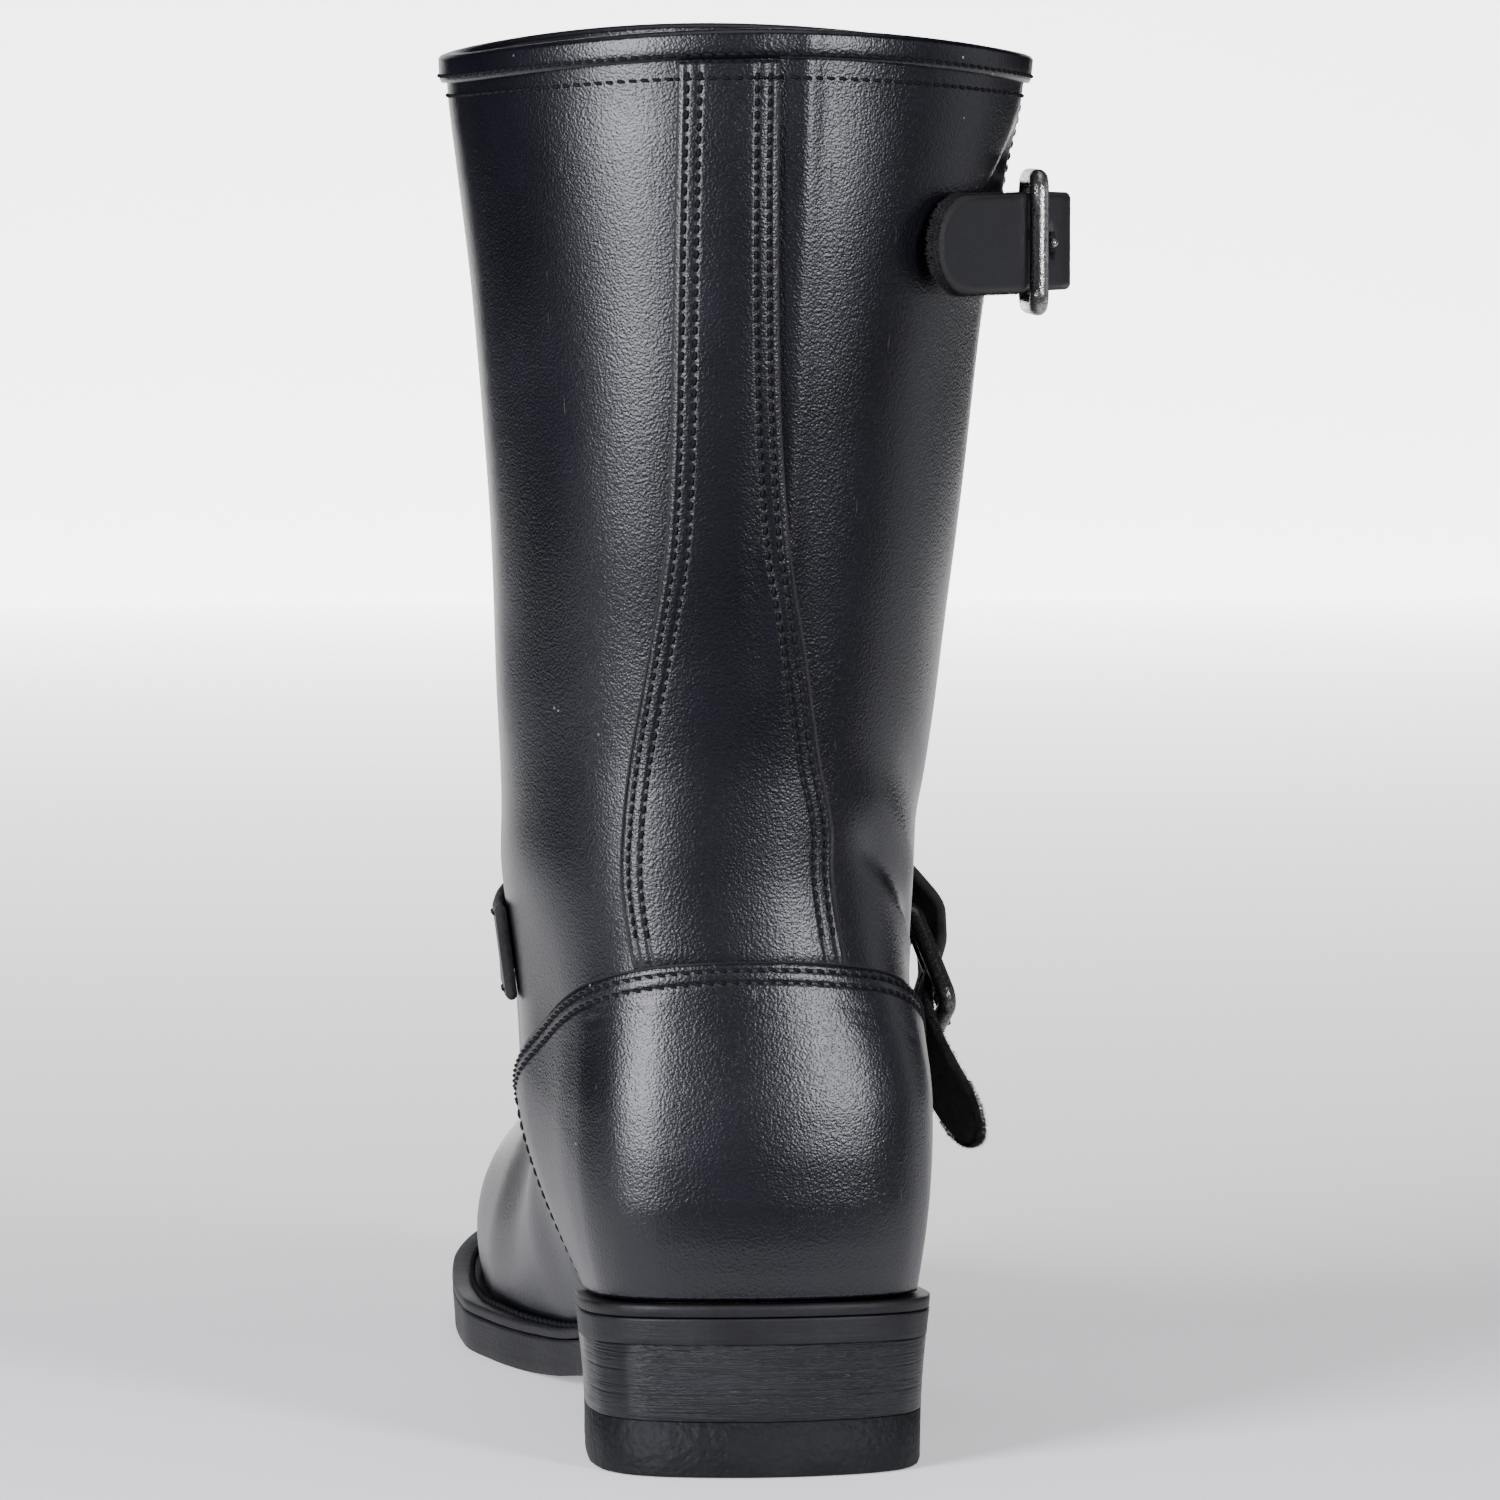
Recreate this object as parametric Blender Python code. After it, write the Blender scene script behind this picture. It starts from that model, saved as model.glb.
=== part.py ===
"""Engineer boot, right foot: pull-on leather upper on a welted sole with a stacked heel.

Metres, +Z up, toe toward +Y, outer (lateral) side toward +X. The origin is on the ground
under the middle of the heel.
"""
import math

import bpy
import numpy as np

MM = 0.001

# Sole, seen from above
SOLE_LENGTH = 300 * MM
HEEL_REACH = 36 * MM           # the sole's back edge, behind the origin
BALL_WIDTH = 106 * MM
HEEL_LENGTH = 70 * MM
HEEL_TAPER = 2.2 * MM          # the heel blocks stand in from the sole's edge

# Sole, seen from the side
WELT_THICK = 2.7 * MM
OUTSOLE_THICK = 9.3 * MM
OUTSOLE_HEEL_THICK = 6.0 * MM
TOP_LIFT_THICK = 12.2 * MM
HEEL_SEAT = 38 * MM            # top of the welt at the back of the heel
TOE_SPRING = 11 * MM
INSOLE_THICK = 4.0 * MM
EDGE_ROUND = 0.8 * MM

# Upper
BOOT_HEIGHT = 310.5 * MM      # leather rim at the back, under the binding
LEATHER = 2.3 * MM
TOP_WIDTH = 125.6 * MM
LEG_DEPTH = 125 * MM
SIT = 0.3 * MM                 # clearance between pieces that touch

# Slit in the outer side of the shaft
SLIT_DEPTH = 75 * MM
SLIT_BACK = 0.5                # back edge, as a share of the way round from back to front
SLIT_OPENING = 0.07            # how much further round the front edge stands at the rim

# Pieces sewn onto the upper
COUNTER_THICK = 1.8 * MM
STRIP_THICK = 1.5 * MM
OVERLAY_GAP = 0.6 * MM
COUNTER_TOP = 112 * MM         # height of the counter at the back
COUNTER_DROP = 32 * MM         # its top edge falls this much toward the front
COUNTER_REACH = 38 * MM        # its front edges, ahead of the origin
BINDING_THICK = 1.2 * MM
BINDING_DEEP = 5 * MM

# Straps and buckles
STRAP_WIDTH = 21.4 * MM
STRAP_THICK = 2.5 * MM
CHAPE_WIDTH = 20 * MM
CHAPE_THICK = 1.8 * MM
PIERCE_WIDTH = 4.4 * MM        # slots for the prong
BAR_RADIUS = 2.1 * MM
PRONG_RADIUS = 1.2 * MM
FRAME_TALL = 32 * MM

# Points in half a loop of the upper, and loops from the sole to the rim
HALF_LOOP = 22
LEVELS = 34

# Plan of the sole: distance from the back, as a share of its length, and the reach of each
# side from the heel's axis, as a share of the ball width
SOLE_PLAN = [
    # along, inner, outer
    (0.000, 0.000, 0.000),
    (0.004, 0.125, 0.125),
    (0.014, 0.232, 0.232),
    (0.032, 0.305, 0.312),
    (0.060, 0.348, 0.352),
    (0.100, 0.362, 0.366),
    (0.160, 0.355, 0.366),
    (0.230, 0.322, 0.360),
    (0.310, 0.275, 0.352),
    (0.400, 0.268, 0.362),
    (0.500, 0.345, 0.408),
    (0.600, 0.440, 0.468),
    (0.680, 0.486, 0.507),
    (0.760, 0.490, 0.512),
    (0.840, 0.474, 0.476),
    (0.900, 0.430, 0.402),
    (0.950, 0.346, 0.300),
    (0.982, 0.222, 0.180),
    (0.995, 0.122, 0.098),
    (1.000, 0.000, 0.000),
]

# Top of the welt, seen from the side: share of the sole's length, height above the flat of
# the ball as a share of the heel's lift, and share of the toe spring
SOLE_SIDE = [
    # along, heel lift, toe spring
    (0.000, 1.000, 0.00),
    (0.130, 0.915, 0.00),
    (0.235, 0.760, 0.00),
    (0.320, 0.480, 0.00),
    (0.400, 0.205, 0.00),
    (0.480, 0.040, 0.00),
    (0.560, 0.000, 0.00),
    (0.720, 0.000, 0.00),
    (0.800, 0.000, 0.12),
    (0.900, 0.000, 0.48),
    (1.000, 0.000, 1.00),
]

# How far the upper stands in from the sole's edge
WELT_MARGIN = [
    # along, margin
    (0.00, 4.6 * MM),
    (0.10, 6.0 * MM),
    (0.22, 5.6 * MM),
    (0.35, 4.0 * MM),
    (0.52, 5.0 * MM),
    (0.65, 6.2 * MM),
    (1.00, 6.4 * MM),
]

# Back and front line of the upper: height as a share of the boot's height, back line and
# front line as shares of the leg's depth at the rim
UPPER_SIDE = [
    # height, back, front
    (0.060, -0.260, 2.052),
    (0.095, -0.260, 2.052),
    (0.125, -0.262, 2.018),
    (0.150, -0.276, 1.955),
    (0.170, -0.288, 1.860),
    (0.195, -0.296, 1.690),
    (0.220, -0.297, 1.500),
    (0.250, -0.292, 1.285),
    (0.285, -0.280, 1.075),
    (0.325, -0.266, 0.920),
    (0.370, -0.254, 0.810),
    (0.420, -0.248, 0.730),
    (0.480, -0.250, 0.670),
    (0.560, -0.272, 0.625),
    (0.660, -0.312, 0.600),
    (0.780, -0.350, 0.605),
    (0.890, -0.372, 0.618),
    (1.000, -0.380, 0.620),
]

# Back strip, by height as a share of the boot's height: how far its middle stands toward the
# outer side of the back line, and its half width
STRIP_SHAPE = [
    # height, middle, half width
    (0.30, -1.6 * MM, 23.5 * MM),
    (0.44, -1.8 * MM, 23.2 * MM),
    (0.50, -3.3 * MM, 20.5 * MM),
    (0.58, -3.9 * MM, 16.5 * MM),
    (0.66, -5.0 * MM, 12.8 * MM),
    (0.76, -6.2 * MM, 11.4 * MM),
    (1.00, -7.9 * MM, 10.6 * MM),
]

# The buckle and the strap through it, in a plane square to its bars: along the strap from the
# buckle's middle, and out from the boot's side
HINGE_BAR = (12.2 * MM, 5.7 * MM)
FAR_BAR = (-12.2 * MM, 11.2 * MM)
THROUGH_BUCKLE = [
    # along, out
    (26.0 * MM, 7.6 * MM),
    (19.0 * MM, 11.2 * MM),
    (12.5 * MM, 12.6 * MM),
    (6.5 * MM, 11.6 * MM),
    (0.5 * MM, 9.0 * MM),
    (-5.5 * MM, 6.4 * MM),
    (-11.0 * MM, 5.4 * MM),
]
SLOT_MIDDLE = (3.0 * MM, 10.8 * MM)
SLOT_REACH = 7.0 * MM

# Short straps that hold the buckles: turn, height, stand-off
TOP_CHAPE = [
    # turn, height, stand-off
    (-0.365, 0.858, 1.6 * MM),
    (-0.410, 0.858, 1.6 * MM),
    (-0.455, 0.860, 1.6 * MM),
    (-0.480, 0.860, 1.6 * MM),
]
INSTEP_CHAPE = [
    # turn, height, stand-off
    (-0.530, 0.296, 3.7 * MM),
    (-0.565, 0.308, 3.0 * MM),
    (-0.600, 0.320, 1.7 * MM),
    (-0.622, 0.327, 1.6 * MM),
]

# Instep strap over the upper, from its inner end to the buckle: turn from back to front
# (outer turns are negative), height as a share of the boot's height, and stand-off
INSTEP_PATH = [
    # turn, height, stand-off
    (0.46, 0.352, 1.8 * MM),
    (0.55, 0.354, 1.9 * MM),
    (0.70, 0.366, 2.2 * MM),
    (0.85, 0.392, 2.6 * MM),
    (1.00, 0.412, 3.2 * MM),
    (1.08, 0.408, 3.4 * MM),
    (1.16, 0.392, 4.6 * MM),
]

# Top strap, from its front end to the buckle
TOP_PATH = [
    # turn, height, stand-off
    (-0.860, 0.860, 1.7 * MM),
    (-0.800, 0.860, 1.7 * MM),
    (-0.735, 0.860, 2.2 * MM),
    (-0.690, 0.860, 4.4 * MM),
    (-0.650, 0.860, 7.6 * MM),
]

# The leg's rounds: height as a share of the boot's height, half width and sideways lean as
# shares of the rim's width, and how square the round is
LEG_ROUNDS = [
    # height, half width, lean, squareness
    (0.100, 0.300, -0.010, 2.00),
    (0.200, 0.345, -0.030, 2.10),
    (0.300, 0.352, -0.045, 2.20),
    (0.345, 0.357, -0.050, 2.25),
    (0.406, 0.363, -0.053, 2.30),
    (0.451, 0.366, -0.048, 2.30),
    (0.557, 0.389, -0.039, 2.20),
    (0.686, 0.416, -0.030, 2.15),
    (0.813, 0.444, -0.025, 2.10),
    (0.921, 0.483, -0.018, 2.05),
    (0.963, 0.499, -0.014, 2.00),
    (1.000, 0.507, -0.012, 2.00),
]

# The foot's sides: distance along the sole, how far each side swells over the line where it
# meets the welt, as a share of its reach, the height of the swell, and how full the
# cross-section is
FOOT_SIDES = [
    # along, inner swell, outer swell, swell height, fullness
    (0.00, 0.08, 0.06, 20 * MM, 2.6),
    (0.10, 0.24, 0.10, 40 * MM, 2.6),
    (0.22, 0.58, 0.14, 54 * MM, 2.6),
    (0.34, 0.76, 0.18, 52 * MM, 2.4),
    (0.46, 0.46, 0.13, 38 * MM, 2.2),
    (0.60, 0.07, 0.07, 22 * MM, 2.1),
    (0.75, 0.05, 0.05, 16 * MM, 2.6),
    (0.88, 0.05, 0.05, 14 * MM, 3.3),
    (1.00, 0.05, 0.05, 12 * MM, 3.3),
]


def column(table, index):
    return np.array([row[index] for row in table], dtype=float)


def smooth(xs, ys, at):
    """Curve through the points (xs, ys) that never overshoots them, read at the values at."""
    xs, ys = np.asarray(xs, float), np.asarray(ys, float)
    at = np.clip(np.asarray(at, float), xs[0], xs[-1])
    step = np.diff(xs)
    slope = np.diff(ys) / step
    tangent = np.zeros(len(xs))
    same = slope[:-1] * slope[1:] > 0
    heavy = 2 * step[1:] + step[:-1]
    light = step[1:] + 2 * step[:-1]
    with np.errstate(divide="ignore", invalid="ignore"):
        mean = (heavy + light) / (heavy / slope[:-1] + light / slope[1:])
    tangent[1:-1] = np.where(same, mean, 0.0)
    tangent[0], tangent[-1] = slope[0], slope[-1]
    left = np.clip(np.searchsorted(xs, at, side="right") - 1, 0, len(xs) - 2)
    t = (at - xs[left]) / step[left]
    return (ys[left] * (1 + 2 * t) * (1 - t) ** 2 + tangent[left] * step[left] * t * (1 - t) ** 2
            + ys[left + 1] * t * t * (3 - 2 * t) - tangent[left + 1] * step[left] * t * t * (1 - t))


def read(table, index, at):
    return smooth(column(table, 0), column(table, index), at)


def along(y):
    """Share of the sole's length at the distance y from the origin."""
    return (np.asarray(y, float) + HEEL_REACH) / SOLE_LENGTH


def turn(share):
    """Share of half a turn whose cosine gives the share of a length."""
    return np.arccos(np.clip(1 - 2 * np.asarray(share, float), -1, 1)) / math.pi


def sole_reach(y):
    """Reach of the sole's inner and outer edge from the heel's axis."""
    at = turn(along(y))
    knots = turn(column(SOLE_PLAN, 0))
    inner = smooth(knots, column(SOLE_PLAN, 1), at) * BALL_WIDTH
    outer = smooth(knots, column(SOLE_PLAN, 2), at) * BALL_WIDTH
    return inner, outer


def welt_top(y):
    flat = WELT_THICK + OUTSOLE_THICK
    lift = (HEEL_SEAT - flat) * read(SOLE_SIDE, 1, along(y))
    return flat + lift + TOE_SPRING * read(SOLE_SIDE, 2, along(y))


def outsole_top(y):
    return welt_top(y) - WELT_THICK - SIT


def outsole_bottom(y):
    """Full thickness under the forefoot, thinner under the waist and the heel."""
    share = np.clip((along(y) - 0.25) / 0.30, 0, 1)
    share = share * share * (3 - 2 * share)
    thick = OUTSOLE_HEEL_THICK + (OUTSOLE_THICK - OUTSOLE_HEEL_THICK) * share
    return welt_top(y) - WELT_THICK - thick


def ease(share):
    share = np.clip(share, 0, 1)
    return share * share * (3 - 2 * share)


def leg_share(h):
    """0 where a round has the foot's shape, 1 where it has the leg's."""
    return ease((np.asarray(h, float) - 0.13 * BOOT_HEIGHT) / (0.19 * BOOT_HEIGHT))


def height(y, h):
    """Height over the ground of the level h of the upper."""
    rise = ease(np.asarray(h, float) / (0.32 * BOOT_HEIGHT))
    return h + welt_top(y) * (1 - rise) + HEEL_SEAT * rise


def back_line(h):
    return read(UPPER_SIDE, 1, (HEEL_SEAT + h) / BOOT_HEIGHT) * LEG_DEPTH


def front_curve():
    """The front line as levels and the distances that go with them."""
    tall = np.linspace(0.075, 1.0, 600) * BOOT_HEIGHT
    ahead = read(UPPER_SIDE, 2, tall / BOOT_HEIGHT) * LEG_DEPTH
    levels = np.linspace(-5 * MM, BOOT_HEIGHT, 900)
    found = [np.interp(z, height(y, levels), levels) for y, z in zip(ahead, tall)]
    return np.array(found), ahead


FRONT_LEVELS, FRONT_REACH = front_curve()
RIM_LEVEL = BOOT_HEIGHT - HEEL_SEAT


def front_line(h):
    return np.interp(h, FRONT_LEVELS, FRONT_REACH)


def ridge(y):
    """Level of the top of the foot at the distance y."""
    last = int(np.argmin(FRONT_REACH[:400]))
    low, high = FRONT_REACH[:last][::-1], FRONT_LEVELS[:last][::-1]
    inside = np.interp(y, low, high)
    behind = np.clip(low[0] - np.asarray(y, float), 0, None)
    return np.maximum(inside, 1 * MM) + 4 * behind


def foot_reach(y, h):
    """Reach of the foot's inner and outer side at the distance y and the level h."""
    back, seat = back_line(h), back_line(0.0)
    fade = 1 - ease((y - back) / (0.30 * SOLE_LENGTH))
    shifted = y - (back - seat) * fade
    share = (shifted - seat) / (front_line(0.0) - seat)
    at, knots = turn(share), turn(column(SOLE_PLAN, 0))
    margin = 1 - read(WELT_MARGIN, 1, share) / (0.42 * BALL_WIDTH)
    swell_height = read(FOOT_SIDES, 3, share)
    fullness = read(FOOT_SIDES, 4, share)
    swollen = np.sin(0.5 * math.pi * np.clip(h / swell_height, 0, 1))
    closing = 1 - np.clip(h / ridge(y), 0, 1) ** fullness
    closing = np.where(closing > 0, closing, 0) ** (1 / 2.1)
    sides = []
    for index in (1, 2):
        reach = smooth(knots, column(SOLE_PLAN, index), at) * BALL_WIDTH * margin
        sides.append(reach * (1 + read(FOOT_SIDES, index, share) * swollen) * closing)
    return sides


def leg_reach(y, h):
    back, front = back_line(h), front_line(h)
    tall = (HEEL_SEAT + h) / BOOT_HEIGHT
    half = read(LEG_ROUNDS, 1, tall) * TOP_WIDTH
    square = read(LEG_ROUNDS, 3, tall)
    off = np.clip(np.abs((2 * y - back - front) / (front - back)), 0, 1)
    return half * (1 - off ** square) ** (1 / square)


def rim_rise(u):
    """The rim dips at the sides and stands highest in front."""
    low, tilt, fold = -1.9 * MM, -1.2 * MM, 3.1 * MM
    return low + tilt * np.cos(math.pi * u) + fold * np.cos(2 * math.pi * u)


def skin(u, level):
    """Point of the upper's outside. u runs 0 to 1 from back to front along the inner side and
    0 to -1 along the outer side; level runs from 0 at the welt to 1 at the rim."""
    u = u - 2 if u > 1 else u + 2 if u < -1 else u
    side, share = (-1.0 if u >= 0 else 1.0), abs(u)
    h = level * RIM_LEVEL
    y = back_line(h) + (front_line(h) - back_line(h)) * (1 - math.cos(math.pi * share)) / 2
    leg = leg_share(h)
    foot = foot_reach(y, h)[0 if side < 0 else 1]
    lean = read(LEG_ROUNDS, 2, (HEEL_SEAT + h) / BOOT_HEIGHT) * TOP_WIDTH
    x = lean * leg + side * ((1 - leg) * foot + leg * leg_reach(y, h))
    z = height(y, h) + SIT + rim_rise(share) * level ** 8
    return np.array([float(x), float(y), float(z)])


def skin_normal(u, level):
    du, dl = 0.012, 0.006
    across = skin(u + du, level) - skin(u - du, level)
    up = skin(u, min(level + dl, 1.02)) - skin(u, max(level - dl, -0.01))
    normal = np.cross(up, across)
    return normal / max(np.linalg.norm(normal), 1e-12)


def plain(name, color, rough, metal=0.0):
    material = bpy.data.materials.new(name)
    material.use_nodes = True
    shader = material.node_tree.nodes["Principled BSDF"]
    shader.inputs["Base Color"].default_value = (*color, 1.0)
    shader.inputs["Roughness"].default_value = rough
    shader.inputs["Metallic"].default_value = metal
    return material


def add_mesh(name, points, faces, material):
    mesh = bpy.data.meshes.new(name)
    mesh.from_pydata([tuple(map(float, p)) for p in points], [], faces)
    mesh.update()
    mesh.materials.append(material)
    for face in mesh.polygons:
        face.use_smooth = True
    thing = bpy.data.objects.new(name, mesh)
    bpy.context.scene.collection.objects.link(thing)
    return thing


def clean_face(face):
    kept = [v for i, v in enumerate(face) if v != face[i - 1]]
    return tuple(dict.fromkeys(kept))


def loop_normals(loop):
    """Outward normals of a closed loop seen from above that runs from the back along the inner
    side to the toe and returns along the outer side."""
    run = np.roll(loop, -1, axis=0) - np.roll(loop, 1, axis=0)
    normal = np.column_stack([-run[:, 1], run[:, 0]])
    return normal / np.maximum(np.linalg.norm(normal, axis=1), 1e-12)[:, None]


def move_in(loop, inset):
    return loop - loop_normals(loop) * inset


def sole_loop(turns):
    """The sole's outline at the given turns from back to front."""
    share = (1 - np.cos(math.pi * np.abs(turns))) / 2
    ys = share * SOLE_LENGTH - HEEL_REACH
    inner, outer = sole_reach(ys)
    return np.column_stack([np.where(turns < 0, outer, -inner), ys])


def heel_loop(steps=16):
    """The part of the sole's outline behind the heel's front face."""
    ys = np.linspace(0, 1, steps + 1) ** 1.6 * HEEL_LENGTH - HEEL_REACH
    inner, outer = sole_reach(ys)
    back_to_front = np.column_stack([-inner, ys])
    front_to_back = np.column_stack([outer, ys])[::-1]
    return np.vstack([back_to_front, front_to_back[:-1]])


def feather_loop(inset=0.0):
    """The line where the upper's outside meets the welt."""
    return move_in(np.array([skin(u, 0.0)[:2] for u in loop_turns(0.0)]), inset)


def slab(name, loop, bottom, top, rounding, material, narrow=0.0):
    """Solid between the heights bottom(y) and top(y) inside a loop, with rounded edges.
    The loop narrows toward the bottom."""
    rings = []
    for height_of, lift, inset in ((bottom, 0.0, narrow + rounding), (bottom, rounding, narrow),
                                   (top, -rounding, 0.0), (top, 0.0, rounding)):
        outline = move_in(loop, inset)
        rings.append(np.column_stack([outline, height_of(outline[:, 1]) + lift]))
    count = len(loop)
    faces = []
    for ring in range(len(rings) - 1):
        for i in range(count):
            j = (i + 1) % count
            faces.append((ring * count + j, ring * count + i,
                          (ring + 1) * count + i, (ring + 1) * count + j))
    above = (len(rings) - 1) * count
    for i in range(count // 2):
        rung = clean_face((i, i + 1, count - i - 1, (count - i) % count))
        faces.append(rung)
        faces.append(tuple(above + v for v in reversed(rung)))
    return add_mesh(name, np.vstack(rings), faces, material)


def ribbon_ring(name, outer, inner, bottom, top, rounding, material):
    """Flat ring between two loops with as many points."""
    count = len(outer)
    rings = []
    for loop, lift in ((inner, 0), (outer, 0), (outer, 1), (move_in(outer, rounding), 2), (inner, 2)):
        z = (bottom(loop[:, 1]), top(loop[:, 1]) - rounding, top(loop[:, 1]))[lift]
        rings.append(np.column_stack([loop, z]))
    faces = []
    for ring in range(len(rings)):
        after = (ring + 1) % len(rings)
        for i in range(count):
            j = (i + 1) % count
            faces.append((ring * count + j, ring * count + i, after * count + i, after * count + j))
    return add_mesh(name, np.vstack(rings), faces, material)


def solid_sheet(name, outside, inside, material, closed=False, missing=()):
    """Solid between two grids of points. Columns run to the right and rows run up, as seen from
    outside. Missing cells are openings."""
    rows, columns = outside.shape[:2]
    under = rows * columns
    outer_faces = []
    for r in range(rows - 1):
        for c in range(columns if closed else columns - 1):
            if (r, c) in missing:
                continue
            a, b = r * columns + c, r * columns + (c + 1) % columns
            outer_faces.append((a, b, b + columns, a + columns))
    edges = {(face[i - 1], face[i]) for face in outer_faces for i in range(4)}
    faces = list(outer_faces)
    faces += [tuple(under + v for v in reversed(face)) for face in outer_faces]
    faces += [(b, a, under + a, under + b) for a, b in sorted(edges) if (b, a) not in edges]
    points = np.vstack([outside.reshape(-1, 3), inside.reshape(-1, 3)])
    used = sorted({v for face in faces for v in face})
    place = {v: i for i, v in enumerate(used)}
    return add_mesh(name, points[used], [tuple(place[v] for v in face) for face in faces], material)


def level_shares():
    """Levels from the welt to the rim, evenly spaced along the front line."""
    fine = np.linspace(0, RIM_LEVEL, 800)
    line = np.array([(front_line(h), height(front_line(h), h)) for h in fine])
    run = np.concatenate([[0], np.cumsum(np.hypot(*np.diff(line, axis=0).T))])
    return np.interp(np.linspace(0, run[-1], LEVELS), run, fine) / RIM_LEVEL


def slit_front(level):
    """Where the front edge of the slit lies on the outer side: the slit opens toward the rim."""
    start = 1 - SLIT_DEPTH / RIM_LEVEL
    return SLIT_BACK + 1 / HALF_LOOP + SLIT_OPENING * ease((level - start) / (1 - start)) ** 0.8


def loop_turns(level):
    """Turns from the back round the inner side, the front and the outer side."""
    inner = np.linspace(0, 1, HALF_LOOP + 1)
    middle = HALF_LOOP // 2
    behind = np.linspace(0, SLIT_BACK, middle + 1)
    ahead = np.linspace(slit_front(level), 1, HALF_LOOP - middle)
    outer = np.concatenate([behind, ahead])
    return np.concatenate([inner, -outer[::-1][1:-1]])


def offset_grid(turns, levels, out):
    """Points over the upper's outside at equal arrays of turns and levels."""
    grid = np.empty(turns.shape + (3,))
    for spot in np.ndindex(turns.shape):
        u, level = turns[spot], levels[spot]
        grid[spot] = skin(u, level) + skin_normal(u, level) * out
    return grid


def build_upper(material):
    shares = level_shares()
    turns = np.array([loop_turns(level)[::-1] for level in shares])
    levels = np.repeat(shares[:, None], turns.shape[1], axis=1)
    outside = offset_grid(turns, levels, 0.0)
    inside = offset_grid(turns, levels, -LEATHER)
    for edge in (0, -1):
        inside[edge, :, 2] = outside[edge, :, 2]
    first = int(np.searchsorted(shares, 1 - SLIT_DEPTH / RIM_LEVEL))
    slit = {(r, HALF_LOOP // 2 - 1) for r in range(first, LEVELS - 1)}
    return solid_sheet("upper", outside, inside, material, closed=True, missing=slit)


def build_binding(material):
    """Rolled edge over the rim, from one edge of the slit round to the other."""
    middle = HALF_LOOP // 2
    turns = loop_turns(1.0)[::-1]
    turns = np.concatenate([turns[middle:], turns[:middle]])
    thick, deep = BINDING_THICK, BINDING_DEEP
    section = [(SIT, -deep), (SIT + thick, -deep), (SIT + thick, 0.4 * thick), (SIT + 0.5 * thick, thick),
               (-LEATHER - SIT - 0.5 * thick, thick), (-LEATHER - SIT - thick, 0.4 * thick),
               (-LEATHER - SIT - thick, -deep), (-LEATHER - SIT, -deep), (-LEATHER - SIT, SIT), (SIT, SIT)]
    rings = []
    for u in turns:
        rim, normal = skin(u, 1.0), skin_normal(u, 1.0)
        up = rim - skin(u, 0.98)
        up /= np.linalg.norm(up)
        rings.append([rim + normal * out + up * lift for out, lift in section])
    count = len(section)
    faces = []
    for r in range(len(rings) - 1):
        for i in range(count):
            j = (i + 1) % count
            faces.append((r * count + i, (r + 1) * count + i, (r + 1) * count + j, r * count + j))
    last = (len(rings) - 1) * count
    halves = ((0, 1, 2, 9), (9, 2, 3), (9, 3, 4, 8), (8, 4, 5), (8, 5, 6, 7))
    for half in halves:
        faces.append(half)
        faces.append(tuple(last + v for v in reversed(half)))
    return add_mesh("top_binding", np.vstack(rings), faces, material)


def level_at(z):
    return (z - HEEL_SEAT) / RIM_LEVEL


def arc_turns(level, runs):
    """Turns that lie the given runs along a round from the back line; outer runs are positive."""
    found = []
    for run in runs:
        side = -1.0 if run > 0 else 1.0
        turns = np.linspace(0, 0.6, 60) * side
        line = np.array([skin(u, level) for u in turns])
        lengths = np.concatenate([[0], np.cumsum(np.linalg.norm(np.diff(line, axis=0), axis=1))])
        found.append(float(np.interp(abs(run), lengths, turns)))
    return np.array(found)


def counter_edge(share):
    """Height of the counter's top edge; the share runs -1 to 1 from its inner to outer front."""
    return COUNTER_TOP - COUNTER_DROP * share ** 2


def build_counter(material):
    shares = np.linspace(-1, 1, 27)
    rows = np.linspace(0, 1, 10)
    turns, levels = np.empty((10, 27)), np.empty((10, 27))
    for r, row in enumerate(rows):
        for c, share in enumerate(shares):
            low = 1.2 * MM / RIM_LEVEL
            level = low + (level_at(counter_edge(share)) - low) * row
            h = level * RIM_LEVEL
            edge = (COUNTER_REACH - back_line(h)) / (front_line(h) - back_line(h))
            turns[r, c] = -share * float(turn(edge))
            levels[r, c] = level
    return solid_sheet("counter", offset_grid(turns, levels, OVERLAY_GAP + COUNTER_THICK),
                       offset_grid(turns, levels, OVERLAY_GAP), material)


def build_back_strip(material):
    low = level_at(COUNTER_TOP) + 2 * SIT / RIM_LEVEL
    high = 1 - (BINDING_DEEP + SIT) / RIM_LEVEL
    heights = np.linspace(low, high, 20)
    turns = []
    for level in heights:
        tall = (HEEL_SEAT + level * RIM_LEVEL) / BOOT_HEIGHT
        half = read(STRIP_SHAPE, 2, tall)
        turns.append(arc_turns(level, read(STRIP_SHAPE, 1, tall) + np.linspace(-1, 1, 9) * half))
    turns = np.array(turns)
    levels = np.repeat(heights[:, None], 9, axis=1)
    return solid_sheet("back_strip", offset_grid(turns, levels, OVERLAY_GAP + STRIP_THICK),
                       offset_grid(turns, levels, OVERLAY_GAP), material)


def band(name, centres, normals, halves, thick, material, pierced=()):
    """Flat strip of leather along a path; pierced rows have a slot down their middle."""
    centres, normals = np.asarray(centres), np.asarray(normals)
    run = np.gradient(centres, axis=0)
    across = np.cross(run, normals)
    across /= np.linalg.norm(across, axis=1)[:, None]
    normals = np.cross(across, run)
    normals /= np.linalg.norm(normals, axis=1)[:, None]
    slot = PIERCE_WIDTH / 2
    lines = [np.stack([c - a * half, c - a * slot, c + a * slot, c + a * half])
             for c, a, half in zip(centres, across, halves)]
    lines = np.array(lines)
    lift = normals[:, None, :] * thick / 2
    return solid_sheet(name, lines + lift, lines - lift, material, missing={(r, 1) for r in pierced})


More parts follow.
